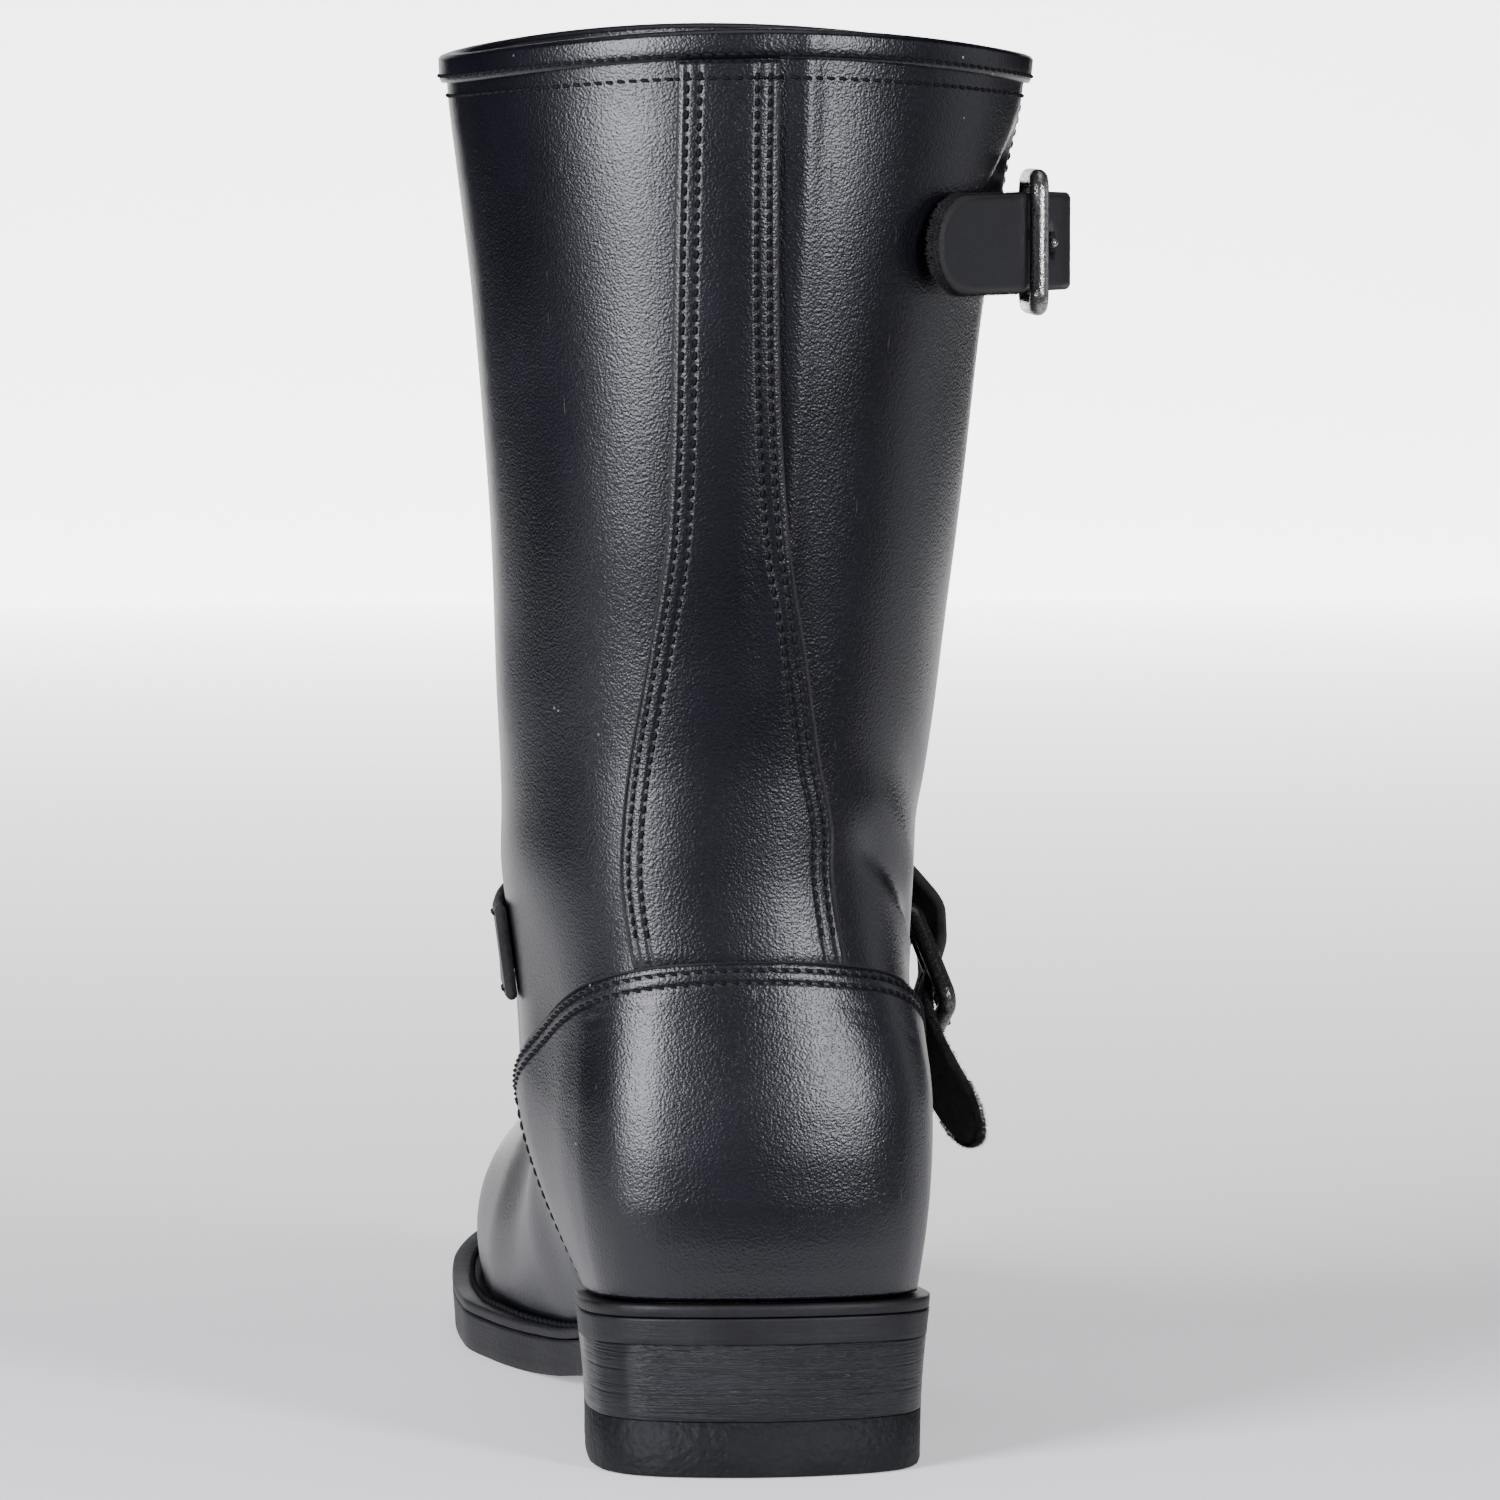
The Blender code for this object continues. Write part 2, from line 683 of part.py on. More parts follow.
def tube(name, path, radii, material, closed=False, sides=8):
    """Round bar along a path in a plane."""
    path = np.asarray(path)
    if closed:
        run = np.roll(path, -1, axis=0) - np.roll(path, 1, axis=0)
    else:
        run = np.gradient(path, axis=0)
    run /= np.linalg.norm(run, axis=1)[:, None]
    flat = np.cross(path[1] - path[0], path[len(path) // 2] - path[0])
    flat /= np.linalg.norm(flat)
    side = np.cross(run, flat)
    angles = np.linspace(0, 2 * math.pi, sides, endpoint=False)
    rings = [[p + r * (math.cos(a) * s + math.sin(a) * flat) for a in angles]
             for p, s, r in zip(path, side, radii)]
    count, faces = len(path), []
    for k in range(count if closed else count - 1):
        after = (k + 1) % count
        for i in range(sides):
            j = (i + 1) % sides
            faces.append((k * sides + j, k * sides + i, after * sides + i, after * sides + j))
    if not closed:
        faces.append(tuple(range(sides)))
        faces.append(tuple((count - 1) * sides + i for i in range(sides))[::-1])
    return add_mesh(name, np.vstack(rings), faces, material)


class Fastening:
    """Buckle on a strap: spot is on the boot's side under its middle, forward runs along the
    strap toward the hinge bar, and out stands away from the boot."""

    def __init__(self, spot, forward, out):
        self.spot = np.asarray(spot)
        self.out = np.asarray(out) / np.linalg.norm(out)
        forward = forward - self.out * np.dot(forward, self.out)
        self.forward = forward / np.linalg.norm(forward)
        self.side = np.cross(self.out, self.forward)

    def at(self, along_strap, out, side=0.0):
        return self.spot + self.forward * along_strap + self.out * out + self.side * side

    def build_frame(self, name, material):
        """Rounded frame with a bar at each end."""
        reach = (FRAME_TALL - 2 * BAR_RADIUS) / 2
        corner = 3.2 * MM
        ends = []
        for (s, n), (fwd, up) in (((FAR_BAR), (1, 1)), ((HINGE_BAR), (-1, 1)),
                                  ((HINGE_BAR), (-1, -1)), ((FAR_BAR), (1, -1))):
            ends.append((s, n, fwd, up))
        slope = (HINGE_BAR[1] - FAR_BAR[1]) / (HINGE_BAR[0] - FAR_BAR[0])
        path = []
        for index, (s, n, fwd, up) in enumerate(ends):
            angles = np.linspace(0, math.pi / 2, 5)
            angles = angles if index in (0, 2) else angles[::-1]
            for angle in angles:
                ds = fwd * corner * (1 - math.cos(angle))
                dz = up * (reach - corner * (1 - math.sin(angle)))
                path.append(self.at(s + ds, n + slope * ds, dz))
        return tube(name, path, [BAR_RADIUS] * len(path), material, closed=True)

    def build_prong(self, name, material):
        """Pin that turns on the hinge bar and rests across the far bar."""
        ring = BAR_RADIUS + SIT + PRONG_RADIUS
        s0, n0 = HINGE_BAR
        path = [(s0 + ring * math.cos(a), n0 + ring * math.sin(a))
                for a in np.linspace(math.radians(-170), math.radians(80), 12)]
        end = (FAR_BAR[0] - 2.5 * MM, FAR_BAR[1] + BAR_RADIUS + 4 * SIT + PRONG_RADIUS)
        start = path[-1]
        path += [tuple(np.add(start, np.subtract(end, start) * t)) for t in np.linspace(0.12, 1, 8)]
        radii = [PRONG_RADIUS] * (len(path) - 2) + [0.9 * PRONG_RADIUS, 0.55 * PRONG_RADIUS]
        return tube(name, [self.at(s, n) for s, n in path], radii, material)

    def chape_end(self):
        """Centres and normals of the chape where it wraps the hinge bar."""
        wrap = BAR_RADIUS + SIT + CHAPE_THICK / 2
        s0, n0 = HINGE_BAR
        angles = np.radians(np.linspace(-90, 100, 9))
        centres = [self.at(s0 + wrap * math.cos(a), n0 + wrap * math.sin(a)) for a in angles]
        normals = [-(self.forward * math.cos(a) + self.out * math.sin(a)) for a in angles]
        return centres, normals


def wrapped(u):
    return u - 2 if u > 1 else u


def side_path(rows, count):
    """Centres and outward normals over the upper, along a table of turn, height, stand-off."""
    ends = np.linspace(0, 1, len(rows))
    at = np.linspace(0, 1, count)
    turns, heights, offs = (smooth(ends, column(rows, index), at) for index in range(3))
    centres, normals = [], []
    for u, tall, off in zip(turns, heights, offs):
        level = level_at(tall * BOOT_HEIGHT)
        normal = skin_normal(wrapped(u), level)
        centres.append(skin(wrapped(u), level) + normal * off)
        normals.append(normal)
    return centres, normals


def resample(centres, normals, spacing):
    """The same path with evenly spaced rows."""
    centres, normals = np.array(centres), np.array(normals)
    run = np.concatenate([[0], np.cumsum(np.linalg.norm(np.diff(centres, axis=0), axis=1))])
    at = np.linspace(0, run[-1], int(round(run[-1] / spacing)) + 1)
    pick = [np.column_stack([smooth(run, block[:, i], at) for i in range(3)])
            for block in (centres, normals)]
    return pick[0], pick[1], at


def build_strap(name, lead, buckle, tail, material):
    """Strap over the boot's side, through its buckle and on to a loose rounded tail."""
    centres, normals = lead
    for s, n in THROUGH_BUCKLE + tail:
        centres.append(buckle.at(s, n + STRAP_THICK / 2))
        normals.append(buckle.out)
    centres, normals, run = resample(centres, normals, 3.5 * MM)
    half = STRAP_WIDTH / 2
    left = np.clip((run[-1] - run) / half, 0, 1)
    halves = half * np.sqrt(np.maximum(1 - (1 - left) ** 2, 0.09))
    crossing = buckle.at(*SLOT_MIDDLE)
    near = np.linalg.norm((centres[1:] + centres[:-1]) / 2 - crossing, axis=1)
    pierced = [r for r in range(len(near)) if near[r] < SLOT_REACH]
    return band(name, centres, normals, halves, STRAP_THICK, material, pierced)


def build_chape(name, buckle, rows, material):
    """Short strap sewn to the boot that holds the buckle by its hinge bar."""
    centres, normals = side_path(rows, 6)
    more, more_normals = buckle.chape_end()
    pierced = range(len(centres) - 1, len(centres) + len(more) - 1)
    halves = [CHAPE_WIDTH / 2] * (len(centres) + len(more))
    return band(name, centres + more, normals + more_normals, halves, CHAPE_THICK, material, pierced)


def fastening(u, tall, ahead_u, ahead_tall, upright=False):
    """Buckle placed over the upper, with the strap's way given by a second spot."""
    level = level_at(tall * BOOT_HEIGHT)
    spot = skin(u, level)
    ahead = skin(ahead_u, level_at(ahead_tall * BOOT_HEIGHT))
    out = skin_normal(u, level) * (1, 1, 0 if upright else 1)
    return Fastening(spot, ahead - spot, out)


def build_straps(leather, metal):
    top = fastening(-0.455, 0.860, -0.50, 0.860, upright=True)
    top_tail = [(-17.0 * MM, 4.2 * MM), (-24.0 * MM, 1.2 * MM), (-32.0 * MM, -2.8 * MM), (-40.0 * MM, -7.0 * MM)]
    build_strap("top_strap", side_path(TOP_PATH, 12), top, top_tail, leather)
    build_chape("top_chape", top, TOP_CHAPE, leather)
    top.build_frame("top_buckle", metal)
    top.build_prong("top_prong", metal)

    low = fastening(-0.61, 0.323, -0.66, 0.340)
    low_tail = [(-17.0 * MM, 5.4 * MM), (-25.0 * MM, 7.4 * MM), (-34.0 * MM, 10.0 * MM), (-43.0 * MM, 12.4 * MM)]
    build_strap("instep_strap", side_path(INSTEP_PATH, 26), low, low_tail, leather)
    build_chape("instep_chape", low, INSTEP_CHAPE, leather)
    low.build_frame("instep_buckle", metal)
    low.build_prong("instep_prong", metal)


def clear_scene():
    for thing in list(bpy.data.objects):
        bpy.data.objects.remove(thing, do_unlink=True)


def main():
    clear_scene()
    hide = plain("boot leather", (0.02, 0.02, 0.024), 0.42)
    sole_leather = plain("sole leather", (0.025, 0.024, 0.026), 0.5)
    stack_leather = plain("heel leather", (0.03, 0.028, 0.03), 0.55)
    rubber = plain("heel rubber", (0.025, 0.025, 0.028), 0.7)
    insole_leather = plain("insole leather", (0.32, 0.22, 0.13), 0.75)

    build_upper(hide)
    whole = sole_loop(loop_turns(0.0))
    slab("outsole", whole, outsole_bottom, outsole_top, EDGE_ROUND, sole_leather, EDGE_ROUND)
    ribbon_ring("welt", move_in(whole, 0.4 * MM), feather_loop(LEATHER + SIT),
                lambda y: welt_top(y) - WELT_THICK, welt_top, EDGE_ROUND, sole_leather)
    slab("insole", feather_loop(LEATHER + 2 * SIT), lambda y: welt_top(y) - WELT_THICK,
         lambda y: welt_top(y) - WELT_THICK + INSOLE_THICK, EDGE_ROUND, insole_leather)
    heel = move_in(heel_loop(), HEEL_TAPER)
    slab("heel_stack", heel, lambda y: 0 * y + TOP_LIFT_THICK + SIT,
         lambda y: outsole_bottom(y) - SIT, EDGE_ROUND, stack_leather)
    build_counter(hide)
    build_back_strip(hide)
    build_binding(hide)
    build_straps(hide, plain("pitted nickel", (0.35, 0.33, 0.31), 0.35, 1.0))
    slab("top_lift", heel, lambda y: 0 * y, lambda y: 0 * y + TOP_LIFT_THICK, EDGE_ROUND, rubber)


main()
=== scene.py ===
"""Looks of an engineer boot, right foot: black leather upper, welted sole, stacked heel.

Metres, +Z up, toe toward +Y, outer side toward +X. Sizes are the boot's own.
"""
from __future__ import annotations

import logging
import math
from dataclasses import dataclass, field
from enum import Enum
from typing import Callable, Iterable, Sequence

import bpy
import numpy as np
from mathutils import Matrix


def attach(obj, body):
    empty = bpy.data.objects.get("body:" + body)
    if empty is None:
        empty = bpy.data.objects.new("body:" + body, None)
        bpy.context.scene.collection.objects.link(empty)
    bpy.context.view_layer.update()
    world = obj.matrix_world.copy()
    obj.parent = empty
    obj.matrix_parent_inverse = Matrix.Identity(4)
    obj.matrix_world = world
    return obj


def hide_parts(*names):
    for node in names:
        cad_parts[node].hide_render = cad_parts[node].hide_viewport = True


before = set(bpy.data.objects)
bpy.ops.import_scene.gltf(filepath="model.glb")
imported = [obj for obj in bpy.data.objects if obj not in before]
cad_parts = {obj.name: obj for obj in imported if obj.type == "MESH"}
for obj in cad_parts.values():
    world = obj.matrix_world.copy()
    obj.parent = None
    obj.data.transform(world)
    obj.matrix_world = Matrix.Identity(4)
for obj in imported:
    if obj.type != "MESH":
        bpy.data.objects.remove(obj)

LOG = logging.getLogger("boot")
MM = 0.001
SIT = 0.3 * MM
Grid = np.ndarray
Material = bpy.types.Material


def smooth(xs: Sequence[float], ys: Sequence[float], at: Grid) -> Grid:
    """Curve through points that never overshoots them.

    Args:
        xs: Rising places of the points.
        ys: Values there.
        at: Places to read.

    Returns:
        The values at those places.
    """
    xs, ys = np.asarray(xs, float), np.asarray(ys, float)
    at = np.clip(np.asarray(at, float), xs[0], xs[-1])
    step = np.diff(xs)
    slope = np.diff(ys) / step
    tangent = np.zeros(len(xs))
    heavy, light = 2 * step[1:] + step[:-1], step[1:] + 2 * step[:-1]
    with np.errstate(divide="ignore", invalid="ignore"):
        mean = (heavy + light) / (heavy / slope[:-1] + light / slope[1:])
    tangent[1:-1] = np.where(slope[:-1] * slope[1:] > 0, mean, 0.0)
    tangent[0], tangent[-1] = slope[0], slope[-1]
    left = np.clip(np.searchsorted(xs, at, side="right") - 1, 0, len(xs) - 2)
    t = (at - xs[left]) / step[left]
    return (ys[left] * (1 + 2 * t) * (1 - t) ** 2 + tangent[left] * step[left] * t * (1 - t) ** 2
            + ys[left + 1] * t * t * (3 - 2 * t) - tangent[left + 1] * step[left] * t * t * (1 - t))


def read(table: Sequence[Sequence[float]], index: int, at: Grid) -> Grid:
    """Column of a table, read by its first column."""
    return smooth([row[0] for row in table], [row[index] for row in table], at)


def ease(share: Grid) -> Grid:
    """Soft step from 0 to 1."""
    share = np.clip(share, 0, 1)
    return share * share * (3 - 2 * share)


def turn(share: Grid) -> Grid:
    """Share of half a turn whose cosine gives the share of a length."""
    return np.arccos(np.clip(1 - 2 * np.asarray(share, float), -1, 1)) / math.pi


def unit(vectors: Grid) -> Grid:
    """Vectors of length one along the last axis."""
    return vectors / np.maximum(np.linalg.norm(vectors, axis=-1, keepdims=True), 1e-12)


def in_mm(*pairs: tuple[float, float]) -> tuple[tuple[float, float], ...]:
    """Pairs of millimetres turned into metres."""
    return tuple((first * MM, second * MM) for first, second in pairs)


def run_of(path: Grid) -> Grid:
    """Length run along a path up to each of its points."""
    return np.concatenate([[0.0], np.cumsum(np.linalg.norm(np.diff(path, axis=0), axis=1))])


def ring_faces(rings: int, count: int, closed: bool = False) -> list[tuple[int, ...]]:
    """Quads between rings of points that follow each other.

    Args:
        rings: Number of rings.
        count: Points in each ring.
        closed: Whether the last ring joins the first.

    Returns:
        The vertex indices of each quad.
    """
    faces = []
    for ring in range(rings if closed else rings - 1):
        low, high = ring * count, (ring + 1) % rings * count
        for i in range(count):
            j = (i + 1) % count
            faces.append((low + j, low + i, high + i, high + j))
    return faces


@dataclass(frozen=True)
class Last:
    """Form of the boot: sole plan and side, and the upper's outside over it."""

    sole_length: float = 300 * MM
    heel_reach: float = 36 * MM
    ball_width: float = 106 * MM
    heel_length: float = 70 * MM
    heel_taper: float = 2.2 * MM
    welt_thick: float = 2.7 * MM
    outsole_thick: float = 9.3 * MM
    outsole_heel_thick: float = 6.0 * MM
    top_lift_thick: float = 12.2 * MM
    heel_seat: float = 38 * MM
    toe_spring: float = 11 * MM
    insole_thick: float = 4.0 * MM
    boot_height: float = 310.5 * MM
    leather: float = 2.3 * MM
    top_width: float = 125.6 * MM
    leg_depth: float = 125 * MM
    slit_depth: float = 75 * MM
    slit_back: float = 0.5
    slit_opening: float = 0.07
    half_loop: int = 22

    # along the sole, inner and outer reach as shares of the ball width
    sole_plan: tuple = (
        (0.000, 0.000, 0.000), (0.004, 0.125, 0.125), (0.014, 0.232, 0.232), (0.032, 0.305, 0.312),
        (0.060, 0.348, 0.352), (0.100, 0.362, 0.366), (0.160, 0.355, 0.366), (0.230, 0.322, 0.360),
        (0.310, 0.275, 0.352), (0.400, 0.268, 0.362), (0.500, 0.345, 0.408), (0.600, 0.440, 0.468),
        (0.680, 0.486, 0.507), (0.760, 0.490, 0.512), (0.840, 0.474, 0.476), (0.900, 0.430, 0.402),
        (0.950, 0.346, 0.300), (0.982, 0.222, 0.180), (0.995, 0.122, 0.098), (1.000, 0.000, 0.000))
    # along the sole, share of the heel's lift, share of the toe spring
    sole_side: tuple = (
        (0.000, 1.000, 0.00), (0.130, 0.915, 0.00), (0.235, 0.760, 0.00), (0.320, 0.480, 0.00),
        (0.400, 0.205, 0.00), (0.480, 0.040, 0.00), (0.560, 0.000, 0.00), (0.720, 0.000, 0.00),
        (0.800, 0.000, 0.12), (0.900, 0.000, 0.48), (1.000, 0.000, 1.00))
    # along the sole, how far the upper stands in from its edge
    welt_margin: tuple = (
        (0.00, 4.6 * MM), (0.10, 6.0 * MM), (0.22, 5.6 * MM), (0.35, 4.0 * MM), (0.52, 5.0 * MM),
        (0.65, 6.2 * MM), (1.00, 6.4 * MM))
    # height share, back and front line as shares of the leg's depth
    upper_side: tuple = (
        (0.060, -0.260, 2.052), (0.095, -0.260, 2.052), (0.125, -0.262, 2.018), (0.150, -0.276, 1.955),
        (0.170, -0.288, 1.860), (0.195, -0.296, 1.690), (0.220, -0.297, 1.500), (0.250, -0.292, 1.285),
        (0.285, -0.280, 1.075), (0.325, -0.266, 0.920), (0.370, -0.254, 0.810), (0.420, -0.248, 0.730),
        (0.480, -0.250, 0.670), (0.560, -0.272, 0.625), (0.660, -0.312, 0.600), (0.780, -0.350, 0.605),
        (0.890, -0.372, 0.618), (1.000, -0.380, 0.620))
    # height share, half width and lean as shares of the rim's width, squareness
    leg_rounds: tuple = (
        (0.100, 0.300, -0.010, 2.00), (0.200, 0.345, -0.030, 2.10), (0.300, 0.352, -0.045, 2.20),
        (0.345, 0.357, -0.050, 2.25), (0.406, 0.363, -0.053, 2.30), (0.451, 0.366, -0.048, 2.30),
        (0.557, 0.389, -0.039, 2.20), (0.686, 0.416, -0.030, 2.15), (0.813, 0.444, -0.025, 2.10),
        (0.921, 0.483, -0.018, 2.05), (0.963, 0.499, -0.014, 2.00), (1.000, 0.507, -0.012, 2.00))
    # along the sole, inner swell, outer swell, swell height, fullness
    foot_sides: tuple = (
        (0.00, 0.08, 0.06, 20 * MM, 2.6), (0.10, 0.24, 0.10, 40 * MM, 2.6), (0.22, 0.58, 0.14, 54 * MM, 2.6),
        (0.34, 0.76, 0.18, 52 * MM, 2.4), (0.46, 0.46, 0.13, 38 * MM, 2.2), (0.60, 0.07, 0.07, 22 * MM, 2.1),
        (0.75, 0.05, 0.05, 16 * MM, 2.6), (0.88, 0.05, 0.05, 14 * MM, 3.3), (1.00, 0.05, 0.05, 12 * MM, 3.3))

    def __post_init__(self) -> None:
        """Works out the front line once."""
        tall = np.linspace(0.075, 1.0, 600) * self.boot_height
        ahead = read(self.upper_side, 2, tall / self.boot_height) * self.leg_depth
        levels = np.linspace(-5 * MM, self.boot_height, 900)
        found = [np.interp(z, self.height(y, levels), levels) for y, z in zip(ahead, tall)]
        object.__setattr__(self, "front_levels", np.array(found))
        object.__setattr__(self, "front_reach", ahead)

    @property
    def rim_level(self) -> float:
        """Height of the rim over the heel's seat."""
        return self.boot_height - self.heel_seat

    def along(self, y: Grid) -> Grid:
        """Share of the sole's length at the distance y."""
        return (np.asarray(y, float) + self.heel_reach) / self.sole_length

    def sole_reach(self, y: Grid) -> tuple[Grid, Grid]:
        """Reach of the sole's inner and outer edge.

        Args:
            y: Distances along the boot.

        Returns:
            Inner reach and outer reach.
        """
        at = turn(self.along(y))
        knots = turn([row[0] for row in self.sole_plan])
        inner, outer = (smooth(knots, [row[i] for row in self.sole_plan], at) * self.ball_width
                        for i in (1, 2))
        return inner, outer

    def welt_top(self, y: Grid) -> Grid:
        """Height of the welt's upper face.

        Args:
            y: Distances along the boot.

        Returns:
            Heights over the ground.
        """
        flat = self.welt_thick + self.outsole_thick
        lift = (self.heel_seat - flat) * read(self.sole_side, 1, self.along(y))
        return flat + lift + self.toe_spring * read(self.sole_side, 2, self.along(y))

    def outsole_top(self, y: Grid) -> Grid:
        """Height of the outsole's upper face."""
        return self.welt_top(y) - self.welt_thick - SIT

    def outsole_bottom(self, y: Grid) -> Grid:
        """Height of the outsole's lower face.

        Args:
            y: Distances along the boot.

        Returns:
            Heights over the ground.
        """
        share = ease((self.along(y) - 0.25) / 0.30)
        thick = self.outsole_heel_thick + (self.outsole_thick - self.outsole_heel_thick) * share
        return self.welt_top(y) - self.welt_thick - thick

    def leg_share(self, h: Grid) -> Grid:
        """0 where a round has the foot's shape, 1 where it has the leg's."""
        return ease((np.asarray(h, float) - 0.13 * self.boot_height) / (0.19 * self.boot_height))

    def height(self, y: Grid, h: Grid) -> Grid:
        """Height over the ground of the level h of the upper."""
        rise = ease(np.asarray(h, float) / (0.32 * self.boot_height))
        return h + self.welt_top(y) * (1 - rise) + self.heel_seat * rise

    def share_at(self, h: Grid) -> Grid:
        """Share of the boot's height at a level."""
        return (self.heel_seat + h) / self.boot_height

    def back_line(self, h: Grid) -> Grid:
        """Back of the upper at a level."""
        return read(self.upper_side, 1, self.share_at(h)) * self.leg_depth

    def front_line(self, h: Grid) -> Grid:
        """Front of the upper at a level."""
        return np.interp(h, self.front_levels, self.front_reach)

    def ridge(self, y: Grid) -> Grid:
        """Level of the top of the foot.

        Args:
            y: Distances along the boot.

        Returns:
            Levels over the welt.
        """
        last = int(np.argmin(self.front_reach[:400]))
        low, high = self.front_reach[:last][::-1], self.front_levels[:last][::-1]
        return np.maximum(np.interp(y, low, high), MM) + 4 * np.clip(low[0] - y, 0, None)

    def foot_reach(self, y: Grid, h: Grid, index: int) -> Grid:
        """Reach of the foot's side.

        Args:
            y: Distances along the boot.
            h: Levels over the welt.
            index: 1 for the inner side, 2 for the outer side.

        Returns:
            Reach from the middle line.
        """
        back, seat = self.back_line(h), self.back_line(0.0)
        fade = 1 - ease((y - back) / (0.30 * self.sole_length))
        share = (y - (back - seat) * fade - seat) / (self.front_line(0.0) - seat)
        knots = turn([row[0] for row in self.sole_plan])
        margin = 1 - read(self.welt_margin, 1, share) / (0.42 * self.ball_width)
        swollen = np.sin(0.5 * math.pi * np.clip(h / read(self.foot_sides, 3, share), 0, 1))
        closing = 1 - np.clip(h / self.ridge(y), 0, 1) ** read(self.foot_sides, 4, share)
        closing = np.maximum(closing, 0) ** (1 / 2.1)
        reach = smooth(knots, [row[index] for row in self.sole_plan], turn(share)) * self.ball_width
        return reach * margin * (1 + read(self.foot_sides, index, share) * swollen) * closing

    def leg_reach(self, y: Grid, h: Grid) -> Grid:
        """Half width of the leg's round.

        Args:
            y: Distances along the boot.
            h: Levels over the welt.

        Returns:
            Half widths.
        """
        back, front = self.back_line(h), self.front_line(h)
        tall = self.share_at(h)
        square = read(self.leg_rounds, 3, tall)
        off = np.clip(np.abs((2 * y - back - front) / (front - back)), 0, 1)
        return read(self.leg_rounds, 1, tall) * self.top_width * (1 - off ** square) ** (1 / square)

    def skin(self, u: Grid, level: Grid) -> Grid:
        """Points of the upper's outside.

        Args:
            u: Turn from back to front, 0 to 1 on the inner side and 0 to -1 on the outer side.
            level: 0 at the welt to 1 at the rim.

        Returns:
            Points, one for each pair.
        """
        u, level = np.broadcast_arrays(np.asarray(u, float), np.asarray(level, float))
        u = np.where(u > 1, u - 2, np.where(u < -1, u + 2, u))
        share, side = np.abs(u), np.where(u >= 0, -1.0, 1.0)
        h = level * self.rim_level
        y = self.back_line(h) + (self.front_line(h) - self.back_line(h)) * (1 - np.cos(math.pi * share)) / 2
        leg = self.leg_share(h)
        foot = np.where(side < 0, self.foot_reach(y, h, 1), self.foot_reach(y, h, 2))
        lean = read(self.leg_rounds, 2, self.share_at(h)) * self.top_width
        x = lean * leg + side * ((1 - leg) * foot + leg * self.leg_reach(y, h))
        rim = (-1.9 - 1.2 * np.cos(math.pi * share) + 3.1 * np.cos(2 * math.pi * share)) * MM
        z = self.height(y, h) + SIT + rim * np.clip(level, 0, 2) ** 8
        return np.stack([x, y, z], axis=-1)

    def normal(self, u: Grid, level: Grid) -> Grid:
        """Outward unit normals of the upper's outside.

        Args:
            u: Turns, as for skin.
            level: Levels, 0 at the welt to 1 at the rim.

        Returns:
            Normals, one for each pair.
        """
        u, level = np.broadcast_arrays(np.asarray(u, float), np.asarray(level, float))
        across = self.skin(u + 0.012, level) - self.skin(u - 0.012, level)
        up = self.skin(u, np.minimum(level + 0.006, 1.02)) - self.skin(u, np.maximum(level - 0.006, -0.01))
        return unit(np.cross(up, across))

    def level_at(self, z: Grid) -> Grid:
        """Level of a height on the back of the boot."""
        return (np.asarray(z, float) - self.heel_seat) / self.rim_level

    def arc_turns(self, level: float, runs: Grid) -> Grid:
        """Turns that lie the given lengths round from the back line.

        Args:
            level: Level of the round.
            runs: Lengths along it; outer ones are positive.

        Returns:
            The turns.
        """
        found = np.zeros(len(runs))
        for side in (1.0, -1.0):
            turns = np.linspace(0, 0.95, 220) * side
            line = self.skin(turns, level)
            chosen = runs <= 0 if side > 0 else runs > 0
            found[chosen] = np.interp(np.abs(runs[chosen]), run_of(line), turns)
        return found

    def levels(self, count: int) -> Grid:
        """Levels from welt to rim, evenly spaced along the front line.

        Args:
            count: Number of levels.

        Returns:
            The levels.
        """
        fine = np.linspace(0, self.rim_level, 1200)
        line = np.stack([self.front_line(fine), self.height(self.front_line(fine), fine)], axis=-1)
        run = run_of(line)
        return np.interp(np.linspace(0, run[-1], count), run, fine) / self.rim_level

    def slit_front(self, level: Grid) -> Grid:
        """Turn of the slit's front edge on the outer side.

        Args:
            level: Levels, 0 to 1.

        Returns:
            Turns, without their sign.
        """
        start = 1 - self.slit_depth / self.rim_level
        open_share = ease((np.asarray(level, float) - start) / (1 - start)) ** 0.8
        return self.slit_back + 1 / self.half_loop + self.slit_opening * open_share


@dataclass(frozen=True)
class Crease:
    """Soft trough or ridge between two spots of the upper, given by turn and height."""

    start: tuple[float, float]
    end: tuple[float, float]
    depth: float
    width: float

    def lift(self, last: Last, points: Grid) -> Grid:
        """Displacement of points near the crease.

        Args:
            last: The boot's form.
            points: Points in the boot's frame.

        Returns:
            How far each point moves along its normal.
        """
        a = last.skin(self.start[0], last.level_at(self.start[1]))
        b = last.skin(self.end[0], last.level_at(self.end[1]))
        run = b - a
        t = np.clip((points - a) @ run / (run @ run), -0.4, 1.4)
        off = np.linalg.norm(points - (a + t[..., None] * run), axis=-1)
        taper = ease((t + 0.4) / 0.5) * ease((1.4 - t) / 0.5)
        return self.depth * np.exp(-(off / self.width) ** 2) * taper


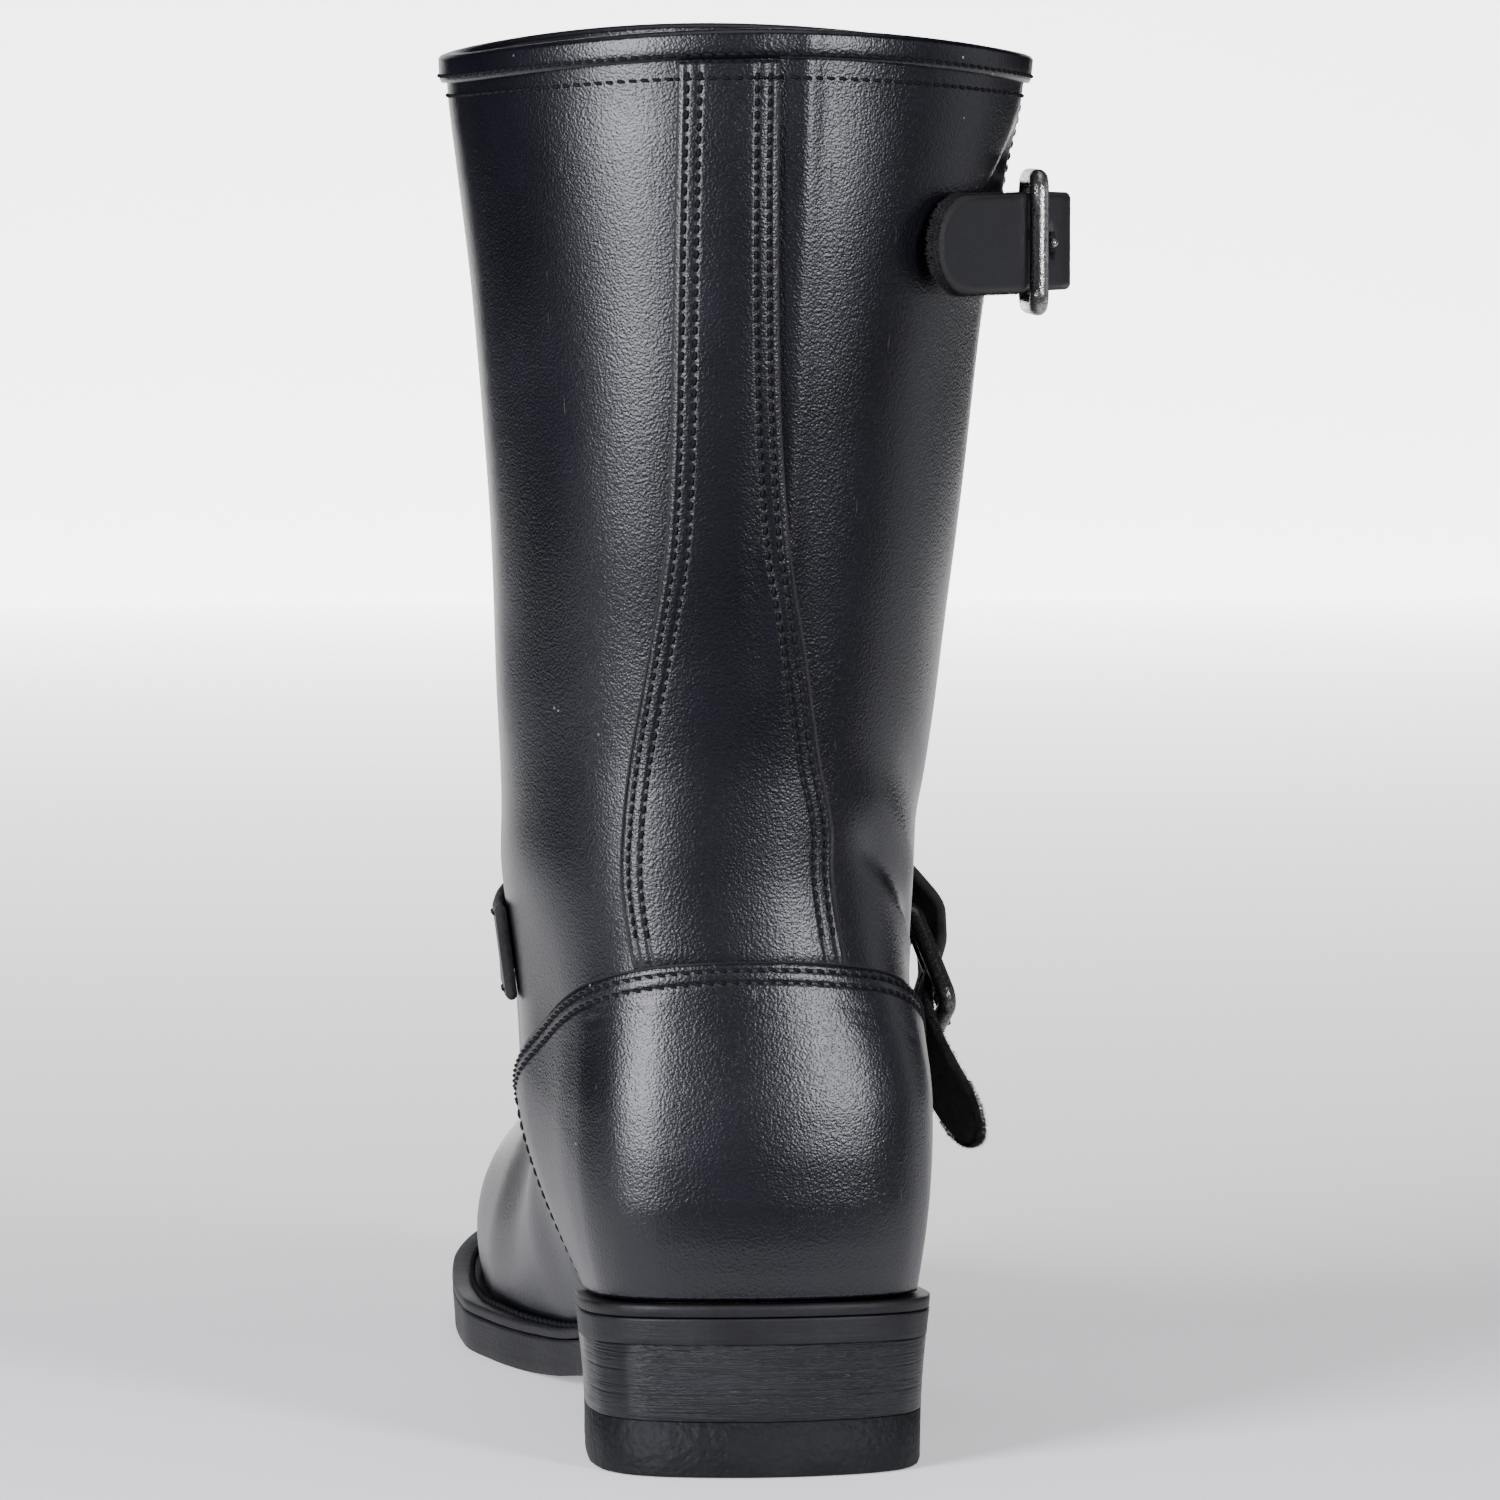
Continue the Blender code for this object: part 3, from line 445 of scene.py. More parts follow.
CREASES = (
    Crease((-0.21, 0.134), (-0.36, 0.116), -1.5 * MM, 3.6 * MM),
    Crease((-0.20, 0.146), (-0.34, 0.129), 0.9 * MM, 4.0 * MM),
    Crease((-0.24, 0.126), (-0.33, 0.112), 0.7 * MM, 2.6 * MM),
    Crease((-0.30, 0.150), (-0.52, 0.128), -0.9 * MM, 7.0 * MM),
    Crease((0.10, 0.1045), (0.17, 0.1015), -0.22 * MM, 0.9 * MM),
    Crease((0.12, 0.1010), (0.18, 0.0985), -0.18 * MM, 0.8 * MM),
    Crease((-0.09, 0.1015), (-0.15, 0.0975), -0.22 * MM, 0.9 * MM),
    Crease((-0.10, 0.0980), (-0.17, 0.0935), -0.18 * MM, 0.8 * MM),
    Crease((-0.048, 0.300), (-0.042, 0.190), 0.8 * MM, 2.3 * MM),
    Crease((-0.012, 0.290), (-0.010, 0.200), -0.5 * MM, 3.2 * MM),
    Crease((-0.36, 0.276), (-0.44, 0.288), -2.2 * MM, 5.0 * MM),
    Crease((0.30, 0.235), (0.42, 0.180), -0.8 * MM, 14.0 * MM),
    Crease((-0.28, 0.240), (-0.36, 0.180), -0.7 * MM, 13.0 * MM),
    Crease((0.62, 0.140), (0.88, 0.155), -2.2 * MM, 7.0 * MM),
    Crease((-0.70, 0.150), (-0.94, 0.160), -2.0 * MM, 7.0 * MM),
    Crease((0.70, 0.165), (0.97, 0.172), -1.3 * MM, 6.0 * MM),
    Crease((-0.62, 0.172), (-0.90, 0.180), -1.2 * MM, 6.0 * MM),
    Crease((0.78, 0.062), (0.93, 0.078), -0.9 * MM, 3.5 * MM),
    Crease((-0.78, 0.064), (-0.93, 0.080), -0.9 * MM, 3.5 * MM),
)


class Relief:
    """All soft folds and the slow unevenness of worn leather."""

    def __init__(self, last: Last) -> None:
        """Keeps the form the folds lie on."""
        self.last = last

    def move(self, points: Grid, normals: Grid) -> Grid:
        """Points moved along their normals by the folds.

        Args:
            points: Points of the plain form.
            normals: Their normals.

        Returns:
            The moved points.
        """
        lift = sum(crease.lift(self.last, points) for crease in CREASES)
        x, y, z = (points[..., i] / MM for i in range(3))
        wave = (np.sin(z / 31 + x / 23 + 1.3) * np.sin(y / 27 - z / 45)
                + 0.6 * np.sin(z / 14 - x / 19) * np.sin(y / 17 + 0.7))
        soft = 0.22 * MM * wave * ease((z - 60) / 60)
        return points + normals * (lift + soft)[..., None]

    def over(self, turns: Grid, levels: Grid, off: Grid = 0.0) -> tuple[Grid, Grid]:
        """Points over the folded upper.

        Args:
            turns: Their turns.
            levels: Their levels.
            off: How far they stand off from the leather.

        Returns:
            The points and the upper's normals.
        """
        normals = self.last.normal(turns, levels)
        points = self.move(self.last.skin(turns, levels), normals)
        return points + normals * np.asarray(off, float)[..., None], normals


class Link:
    """Output of a node, with arithmetic that adds Math nodes."""

    def __init__(self, kit: "NodeKit", socket: bpy.types.NodeSocket) -> None:
        """Wraps one output socket."""
        self.kit, self.socket = kit, socket

    def _math(self, operation: str, *values: object) -> "Link":
        """Math node on the values."""
        return self.kit.node("ShaderNodeMath", {"operation": operation}, dict(enumerate(values)))

    def __add__(self, other: object) -> "Link":
        """Sum."""
        return self._math("ADD", self, other)

    __radd__ = __add__

    def __sub__(self, other: object) -> "Link":
        """Difference."""
        return self._math("SUBTRACT", self, other)

    def __rsub__(self, other: object) -> "Link":
        """Difference from a number."""
        return self._math("SUBTRACT", other, self)

    def __mul__(self, other: object) -> "Link":
        """Product."""
        return self._math("MULTIPLY", self, other)

    __rmul__ = __mul__

    def __truediv__(self, other: object) -> "Link":
        """Quotient."""
        return self._math("DIVIDE", self, other)

    def clamp(self, low: float, high: float) -> "Link":
        """Value mapped from low..high to 0..1 and held there."""
        return self.kit.node("ShaderNodeMapRange", {"clamp": True},
                             {"Value": self, "From Min": low, "From Max": high})

    def bell(self, middle: float, width: float) -> "Link":
        """Soft peak of height 1 round a value."""
        off = (self - middle) / width
        return self._math("EXPONENT", (off * off) * -1.0)


class NodeKit:
    """Builds the nodes of one material."""

    def __init__(self, name: str) -> None:
        """Starts a material with its shader."""
        self.material = bpy.data.materials.new(name)
        self.material.use_nodes = True
        self.tree = self.material.node_tree
        self.shader = self.tree.nodes["Principled BSDF"]

    def node(self, kind: str, settings: dict, values: dict, output: object = 0) -> Link:
        """Adds a node.

        Args:
            kind: The node's type.
            settings: Its settings, set first.
            values: Numbers, colours or links for its sockets.
            output: The output to return.

        Returns:
            The link to that output.
        """
        made = self.tree.nodes.new(kind)
        for key, value in settings.items():
            setattr(made, key, value)
        for key, value in values.items():
            self.put(made.inputs[key], value)
        return Link(self, made.outputs[output])

    def put(self, socket: bpy.types.NodeSocket, value: object) -> None:
        """Sets or links one input.

        Args:
            socket: The input.
            value: Number, colour, vector or link.
        """
        if isinstance(value, Link):
            self.tree.links.new(value.socket, socket)
        elif isinstance(value, tuple) and len(value) == 3 and socket.type == "RGBA":
            socket.default_value = (*value, 1.0)
        else:
            socket.default_value = value

    def dress(self, **values: object) -> None:
        """Sets the shader's inputs by name, with underscores for blanks."""
        for key, value in values.items():
            self.put(self.shader.inputs[key.replace("_", " ").title().replace("Ior", "IOR")], value)

    def place(self) -> Link:
        """Object coordinates in metres."""
        return self.node("ShaderNodeTexCoord", {}, {}, "Object")

    def stretched(self, scale: tuple[float, float, float]) -> Link:
        """Object coordinates scaled along each axis."""
        return self.node("ShaderNodeMapping", {}, {"Vector": self.place(), "Scale": scale})

    def height(self) -> Link:
        """Height over the ground."""
        return self.node("ShaderNodeSeparateXYZ", {}, {"Vector": self.place()}, "Z")

    def noise(self, scale: float, detail: float = 3.0, rough: float = 0.5, where: Link | None = None) -> Link:
        """Cloudy noise, about 0.5 in the middle."""
        return self.node("ShaderNodeTexNoise", {}, {"Vector": where or self.place(), "Scale": scale,
                                                    "Detail": detail, "Roughness": rough}, "Fac")

    def cells(self, scale: float, feature: str = "F1") -> Link:
        """Distance field of small cells."""
        return self.node("ShaderNodeTexVoronoi", {"feature": feature},
                         {"Vector": self.place(), "Scale": scale}, "Distance")

    def trait(self, name: str) -> Link:
        """Value stored on the mesh, in metres."""
        return self.node("ShaderNodeAttribute", {"attribute_name": name}, {}, "Fac")

    def blend(self, share: Link, first: object, second: object) -> Link:
        """Colour between two colours."""
        return self.node("ShaderNodeMix", {"data_type": "RGBA"},
                         {"Factor": share, 6: first, 7: second}, 2)

    def bump(self, height: Link, strength: float, distance: float) -> Link:
        """Normal from a height."""
        return self.node("ShaderNodeBump", {}, {"Height": height, "Strength": strength,
                                                "Distance": distance}, "Normal")


@dataclass(frozen=True)
class Seam:
    """Rows of stitching that press a groove into a piece, in from its edge."""

    rows: tuple[float, ...] = ()
    raw_edge: float = 0.0


@dataclass(frozen=True)
class BootLeather:
    """Oiled black leather with a fine pebbled grain."""

    name: str = "boot_leather"
    dark: tuple[float, float, float] = (0.0012, 0.0012, 0.0030)
    light: tuple[float, float, float] = (0.0030, 0.0030, 0.0066)
    gloss: float = 0.255
    grain: float = 1800.0
    grain_deep: float = 0.085 * MM
    seam: Seam = Seam()

    def make(self) -> Material:
        """Builds the material.

        Returns:
            The material.
        """
        kit = NodeKit(self.name)
        pebble = kit.cells(self.grain, "SMOOTH_F1")
        fine = kit.noise(2600, 2.0, 0.6)
        cloud = kit.noise(26, 4.0, 0.55)
        pores = kit.noise(760, 2.0, 0.5)
        scratch = kit.noise(1.0, 2.0, 0.5, kit.stretched((900, 700, 42))).clamp(0.735, 0.80)
        relief = pebble * 1.0 + fine * 0.6 + pores * 0.22 - scratch * 0.6
        dust = kit.cells(150).clamp(0.055, 0.02) * kit.noise(19, 1.0).clamp(0.60, 0.68)
        color = kit.blend(cloud.clamp(0.32, 0.72), self.dark, self.light)
        color = kit.blend(scratch * 0.12, color, (0.07, 0.07, 0.08))
        color = kit.blend(dust * 0.8, color, (0.45, 0.45, 0.44))
        rough = self.gloss + cloud * 0.10 + pebble * 0.06 + scratch * 0.15 + dust * 0.3
        if self.seam.rows or self.seam.raw_edge:
            edge = kit.trait("edge")
            groove = 0.0
            for row in self.seam.rows:
                groove = edge.bell(row, 0.55 * MM) + groove
            if self.seam.rows:
                relief = relief - groove * 2.4
                color = kit.blend(groove.clamp(0, 1) * 0.5, color, (0.006, 0.006, 0.008))
                rough = rough + groove * 0.1
            if self.seam.raw_edge:
                raw = 1 - edge.clamp(self.seam.raw_edge * 0.5, self.seam.raw_edge)
                color = kit.blend(raw, color, (0.016, 0.015, 0.015))
                rough = rough + raw * 0.3
        kit.dress(base_color=color, roughness=rough, normal=kit.bump(relief, 1.0, self.grain_deep), ior=1.5)
        return kit.material


@dataclass(frozen=True)
class FleshLeather:
    """Rough, fibrous side or cut edge of the leather."""

    name: str = "boot_leather_flesh"
    dark: tuple[float, float, float] = (0.0060, 0.0058, 0.0066)
    light: tuple[float, float, float] = (0.022, 0.021, 0.022)

    def make(self) -> Material:
        """Builds the material.

        Returns:
            The material.
        """
        kit = NodeKit(self.name)
        nap = kit.noise(1500, 4.0, 0.7)
        color = kit.blend(kit.noise(240, 3.0).clamp(0.35, 0.7), self.dark, self.light)
        kit.dress(base_color=color, roughness=0.86 + nap * 0.1, normal=kit.bump(nap, 1.0, 0.3 * MM))
        return kit.material


@dataclass(frozen=True)
class Thread:
    """Waxed black thread."""

    name: str = "waxed_thread"

    def make(self) -> Material:
        """Builds the material.

        Returns:
            The material.
        """
        kit = NodeKit(self.name)
        twist = kit.noise(2200, 2.0)
        kit.dress(base_color=kit.blend(twist, (0.0015, 0.0015, 0.0022), (0.006, 0.006, 0.008)),
                  roughness=0.55 + twist * 0.2, normal=kit.bump(twist, 0.7, 0.1 * MM), ior=1.25)
        return kit.material


@dataclass(frozen=True)
class SoleEdge:
    """Dyed and waxed leather edge of welt and outsole."""

    name: str = "sole_leather"

    def make(self) -> Material:
        """Builds the material.

        Returns:
            The material.
        """
        kit = NodeKit(self.name)
        layers = kit.noise(1.0, 3.0, 0.6, kit.stretched((60, 60, 1500)))
        rub = kit.noise(70, 4.0, 0.6)
        color = kit.blend(rub.clamp(0.35, 0.75), (0.0030, 0.0030, 0.0042), (0.010, 0.010, 0.012))
        kit.dress(base_color=color, roughness=0.46 + rub * 0.18,
                  normal=kit.bump(layers + kit.noise(900, 2.0) * 0.8, 0.8, 0.16 * MM), ior=1.36)
        return kit.material


@dataclass(frozen=True)
class HeelStack:
    """Stack of leather lifts: fine level fibres, with a line at each joint."""

    name: str = "heel_leather"
    lift: float = 5.4 * MM
    base: float = 12.4 * MM

    def make(self) -> Material:
        """Builds the material.

        Returns:
            The material.
        """
        kit = NodeKit(self.name)
        fibres = kit.noise(1.0, 4.0, 0.65, kit.stretched((55, 55, 2100)))
        broad = kit.noise(1.0, 3.0, 0.6, kit.stretched((25, 25, 520)))
        joint = 0.0
        for index in (1, 2):
            joint = kit.height().bell(self.base + index * self.lift, 0.28 * MM) + joint
        tone = (fibres * 0.7 + broad * 0.5).clamp(0.42, 0.80)
        color = kit.blend(tone, (0.0006, 0.0007, 0.0010), (0.0075, 0.0082, 0.0115))
        color = kit.blend(joint * 0.3, color, (0.004, 0.004, 0.005))
        kit.dress(base_color=color, roughness=0.27 + tone * 0.18,
                  normal=kit.bump(fibres + broad * 0.8 - joint * 0.3, 1.0, 0.5 * MM), ior=1.36)
        return kit.material


@dataclass(frozen=True)
class LiftRubber:
    """Moulded rubber with a fine pebbled side."""

    name: str = "heel_rubber"

    def make(self) -> Material:
        """Builds the material.

        Returns:
            The material.
        """
        kit = NodeKit(self.name)
        pebble = kit.cells(620, "SMOOTH_F1")
        rub = kit.noise(60, 4.0, 0.6)
        color = kit.blend(rub.clamp(0.35, 0.75), (0.0018, 0.0019, 0.0026), (0.0065, 0.0070, 0.0090))
        kit.dress(base_color=color, roughness=0.48 + rub * 0.2,
                  normal=kit.bump(pebble + kit.noise(1500, 2.0) * 0.5, 1.0, 0.30 * MM), ior=1.27)
        return kit.material


@dataclass(frozen=True)
class InsoleLeather:
    """Natural vegetable-tanned leather."""

    name: str = "insole_leather"

    def make(self) -> Material:
        """Builds the material.

        Returns:
            The material.
        """
        kit = NodeKit(self.name)
        cloud = kit.noise(60, 4.0)
        kit.dress(base_color=kit.blend(cloud, (0.20, 0.125, 0.070), (0.33, 0.22, 0.13)),
                  roughness=0.62 + cloud * 0.15, normal=kit.bump(kit.noise(1400, 3.0), 0.6, 0.1 * MM))
        return kit.material


@dataclass(frozen=True)
class PittedNickel:
    """Old nickel plate, dark in its pits and bright where it is rubbed."""

    name: str = "buckle_metal"
    bright: tuple[float, float, float] = (0.36, 0.34, 0.33)
    dull: tuple[float, float, float] = (0.060, 0.052, 0.049)

    def make(self) -> Material:
        """Builds the material.

        Returns:
            The material.
        """
        kit = NodeKit(self.name)
        pits = kit.noise(1300, 3.0, 0.6)
        worn = kit.noise(160, 3.0, 0.6)
        dull = (1 - pits.clamp(0.36, 0.46)) * 0.75 + (1 - worn.clamp(0.34, 0.55)) * 0.3
        kit.dress(base_color=kit.blend(dull.clamp(0, 1), self.bright, self.dull),
                  metallic=0.9, roughness=0.24 + dull * 0.3,
                  normal=kit.bump(pits + worn * 0.4, 1.0, 0.16 * MM))
        return kit.material


def add_mesh(name: str, points: Grid, faces: list, materials: Sequence[Material],
             edge: Grid | None = None, slots: Sequence[int] | None = None) -> bpy.types.Object:
    """Mesh object with smooth shading.

    Args:
        name: The piece's name.
        points: Its vertices.
        faces: Vertex indices of each face.
        materials: Its materials.
        edge: Distance of each vertex from the piece's edge.
        slots: Material index of each face.

    Returns:
        The new object.
    """
    mesh = bpy.data.meshes.new(name)
    mesh.from_pydata(np.asarray(points, float).tolist(), [], faces)
    for material in materials:
        mesh.materials.append(material)
    mesh.polygons.foreach_set("use_smooth", [True] * len(mesh.polygons))
    if slots is not None:
        mesh.polygons.foreach_set("material_index", list(slots))
    if edge is not None:
        values = mesh.attributes.new("edge", "FLOAT", "POINT").data
        values.foreach_set("value", np.ravel(edge).astype(np.float32))
    mesh.update()
    piece = bpy.data.objects.new(name, mesh)
    bpy.context.scene.collection.objects.link(piece)
    return piece


def sheet_solid(name: str, outside: Grid, inside: Grid, materials: Sequence[Material],
                closed: bool = False, missing: Iterable[tuple[int, int]] = (),
                edge: Grid | None = None) -> bpy.types.Object:
    """Solid between two grids of points; columns run right and rows run up, seen from outside.

    Args:
        name: The piece's name.
        outside: Outer grid.
        inside: Inner grid.
        materials: Outer material, then inner, then cut edge; the last one stands in for the rest.
        closed: Whether the last column joins the first.
        missing: Cells left open.
        edge: Distance of the grid's points from the edge.

    Returns:
        The new object.
    """
    rows, columns = outside.shape[:2]
    under, left_out = rows * columns, set(missing)
    outer = []
    for r in range(rows - 1):
        for c in range(columns if closed else columns - 1):
            if (r, c) not in left_out:
                a, b = r * columns + c, r * columns + (c + 1) % columns
                outer.append((a, b, b + columns, a + columns))
    edges = {(face[i - 1], face[i]) for face in outer for i in range(4)}
    walls = [(b, a, under + a, under + b) for a, b in sorted(edges) if (b, a) not in edges]
    inner = [tuple(under + v for v in reversed(face)) for face in outer]
    kinds = [0] * len(outer) + [min(1, len(materials) - 1)] * len(inner) + [len(materials) - 1] * len(walls)
    faces = outer + inner + walls
    points = np.vstack([outside.reshape(-1, 3), inside.reshape(-1, 3)])
    used = np.unique(np.array(sorted({v for face in faces for v in face})))
    place = {int(v): i for i, v in enumerate(used)}
    distances = None if edge is None else np.concatenate([edge.ravel(), edge.ravel()])[used]
    return add_mesh(name, points[used], [tuple(place[v] for v in face) for face in faces],
                    materials, distances, kinds)


class Layer(Enum):
    """Which of the record's finishes a piece takes."""

    BOOT = "boot_leather"
    SOLE = "sole_leather"
    HEEL = "heel_leather"
    RUBBER = "heel_rubber"
    INSOLE = "insole_leather"
    METAL = "buckle_metal"


def settle(piece: bpy.types.Object, layer: Layer, *nodes: str) -> bpy.types.Object:
    """Rides a piece on the boot, hides the solids it stands for, and reports it.

    Args:
        piece: The piece.
        layer: Its finish; not used.
        nodes: Solids it stands for.

    Returns:
        The same piece.
    """
    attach(piece, "root")
    if nodes:
        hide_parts(*nodes)
    LOG.info("%s: %d faces", piece.name, len(piece.data.polygons))
    return piece


def loop_normals(loop: Grid) -> Grid:
    """Outward normals of an outline that runs from the back along the inner side."""
    run = np.roll(loop, -1, axis=0) - np.roll(loop, 1, axis=0)
    return unit(np.column_stack([-run[:, 1], run[:, 0]]))


def move_in(loop: Grid, inset: float) -> Grid:
    """The outline moved in."""
    return loop - loop_normals(loop) * inset


@dataclass
class Stitching:
    """Rows of raised stitches laid along a path."""

    pitch: float = 2.7 * MM
    length: float = 2.15 * MM
    radius: float = 0.42 * MM
    sides: int = 6
    look_ahead: float = 0.5 * MM
    # height of a stitch's middle over the leather, in radii
    proud: float = 0.55
    # share of the half length, share of the radius, rise in radii
    profile: tuple = (
        (-1.0, 0.25, -0.9), (-0.72, 0.85, -0.15), (0.0, 1.0, 0.12), (0.72, 0.85, -0.15), (1.0, 0.25, -0.9))
    points: list = field(default_factory=list)
    faces: list = field(default_factory=list)

    def row(self, path: Grid, normals: Grid, sink: float = 0.12 * MM, slant: float = 0.10) -> None:
        """Adds stitches along a path on a surface.

        Args:
            path: Points on the surface.
            normals: Its normals there.
            sink: How far each stitch sits below a full round.
            slant: Sideways lean of each stitch.
        """
        run = run_of(path)
        for middle in np.arange(self.pitch, run[-1] - self.pitch / 2, self.pitch):
            spot = np.array([np.interp(middle, run, path[:, i]) for i in range(3)])
            ahead = np.array([np.interp(middle + self.look_ahead, run, path[:, i]) for i in range(3)])
            normal = unit(np.array([np.interp(middle, run, normals[:, i]) for i in range(3)]))
            along = unit(ahead - spot)
            across = unit(np.cross(along, normal))
            along = unit(along + across * slant)
            self._stitch(spot + normal * (self.radius * self.proud - sink), along, across, normal)

    def _stitch(self, spot: Grid, along: Grid, across: Grid, normal: Grid) -> None:
        """Adds one stitch: a short plump bar whose ends dip into the leather.

        Args:
            spot: Its middle.
            along: Its direction.
            across: Direction to its side.
            normal: The surface's normal.
        """
        base = len(self.points)
        for share, thick, rise in self.profile:
            middle = spot + along * share * self.length / 2 + normal * rise * self.radius
            for k in range(self.sides):
                angle = 2 * math.pi * k / self.sides
                self.points.append(middle + self.radius * thick * (across * math.cos(angle)
                                                                   + normal * math.sin(angle)))
        for ring in range(len(self.profile) - 1):
            for k in range(self.sides):
                a, b = base + ring * self.sides + k, base + ring * self.sides + (k + 1) % self.sides
                self.faces.append((a, b, b + self.sides, a + self.sides))
        last = base + (len(self.profile) - 1) * self.sides
        self.faces.append(tuple(base + k for k in range(self.sides))[::-1])
        self.faces.append(tuple(last + k for k in range(self.sides)))

    def make(self, name: str, material: Material) -> None:
        """Joins the rows into one piece."""
        settle(add_mesh(name, np.array(self.points), self.faces, [material]), Layer.BOOT)


@dataclass
class Upper:
    """Vamp and shaft, one hollow wall with a slit in the outer side."""

    last: Last
    relief: Relief
    columns: int = 132
    rows: int = 158
    slit_columns: int = 6
    # open columns in the lowest rows of the slit
    slit_foot: tuple = ((1, 4), (1, 5), (0, 5))

    def turns(self, level: float) -> Grid:
        """Turns round the boot at a level, with columns at the edges of the slit.

        Args:
            level: The level.

        Returns:
            Turns in the order of the columns.
        """
        half, gap = self.columns, self.slit_columns
        inner = np.linspace(0, 1, half + 1)
        back = np.linspace(0, self.last.slit_back, half // 2 + 1)
        slit = np.linspace(self.last.slit_back, float(self.last.slit_front(level)), gap + 1)[1:]
        ahead = np.linspace(slit[-1], 1, half - half // 2 - gap + 1)[1:]
        outer = np.concatenate([back, slit, ahead])
        return np.concatenate([inner, -outer[::-1][1:-1]])[::-1]

    def build(self, hide: Material, lining: Material) -> None:
        """Builds the wall.

        Args:
            hide: Material of the outside.
            lining: Material of the inside and the cut edges.
        """
        shares = self.last.levels(self.rows)
        turns = np.array([self.turns(level) for level in shares])
        levels = np.repeat(shares[:, None], turns.shape[1], axis=1)
        outside, normal = self.relief.over(turns, levels)
        inside = outside - normal * self.last.leather
        for edge in (0, -1):
            inside[edge, :, 2] = outside[edge, :, 2]
        first = int(np.searchsorted(shares, 1 - self.last.slit_depth / self.last.rim_level))
        middle = self.columns // 2
        slit = set()
        for r in range(first, self.rows - 1):
            low, high = (*self.slit_foot, *[(0, self.slit_columns)] * self.rows)[r - first]
            slit |= {(r, middle - 1 + c) for c in range(low, high)}
        piece = sheet_solid("upper_leather", outside, inside, [hide, lining, lining], True, slit)
        settle(piece, Layer.BOOT, "upper")


@dataclass
class Counter:
    """Heel cover sewn over the foot of the shaft."""

    last: Last
    relief: Relief
    thick: float = 1.8 * MM
    gap: float = 0.6 * MM
    top: float = 112 * MM
    drop: float = 32 * MM
    reach: float = 38 * MM
    columns: int = 190
    rows: int = 90
    foot: float = 1.2 * MM
    wrap: float = 75 * MM
    roll: float = 0.55 * MM
    roll_wide: float = 1.6 * MM
    top_rows: tuple[float, ...] = (2.0 * MM, 4.6 * MM)
    front_columns: tuple[int, ...] = (5, 8, -6, -9)

    def grid(self) -> tuple[Grid, Grid, Grid]:
        """Places of the cover's points.

        Returns:
            Grids of turns, levels and distances from the edge.
        """
        shares = np.linspace(-1, 1, self.columns)[None, :]
        low = self.foot / self.last.rim_level
        high = self.last.level_at(self.top - self.drop * shares ** 2)
        levels = low + (high - low) * np.linspace(0, 1, self.rows)[:, None]
        h = levels * self.last.rim_level
        back, front = self.last.back_line(h), self.last.front_line(h)
        turns = -shares * turn((self.reach - back) / (front - back))
        down = (high - levels) * self.last.rim_level
        side = (1 - np.abs(shares)) * self.wrap * np.ones_like(levels)
        return turns, levels, np.minimum(down, side)

    def build(self, hide: Material, cut: Material, thread: Stitching) -> None:
        """Builds the cover and its stitching.

        Args:
            hide: Material of the outside.
            cut: Material of the inside and the cut edges.
            thread: Stitching to add to.
        """
        turns, levels, edge = self.grid()
        base, normal = self.relief.over(turns, levels)
        roll = self.roll * (1 - ease(edge / self.roll_wide))
        outside = base + normal * (self.gap + self.thick - roll)[..., None]
        inside = base + normal * self.gap
        piece = sheet_solid("counter_leather", outside, inside, [hide, cut, cut], edge=edge)
        settle(piece, Layer.BOOT, "counter")
        off = self.gap + self.thick
        for depth in self.top_rows:
            rows = levels[-1] - depth / self.last.rim_level
            path = [np.interp(row, levels[:, c], turns[:, c]) for c, row in enumerate(rows)]
            thread.row(*self.relief.over(np.array(path)[4:-4], rows[4:-4], off), slant=0.28)
        for column in self.front_columns:
            thread.row(*self.relief.over(turns[3:-8, column], levels[3:-8, column], off))


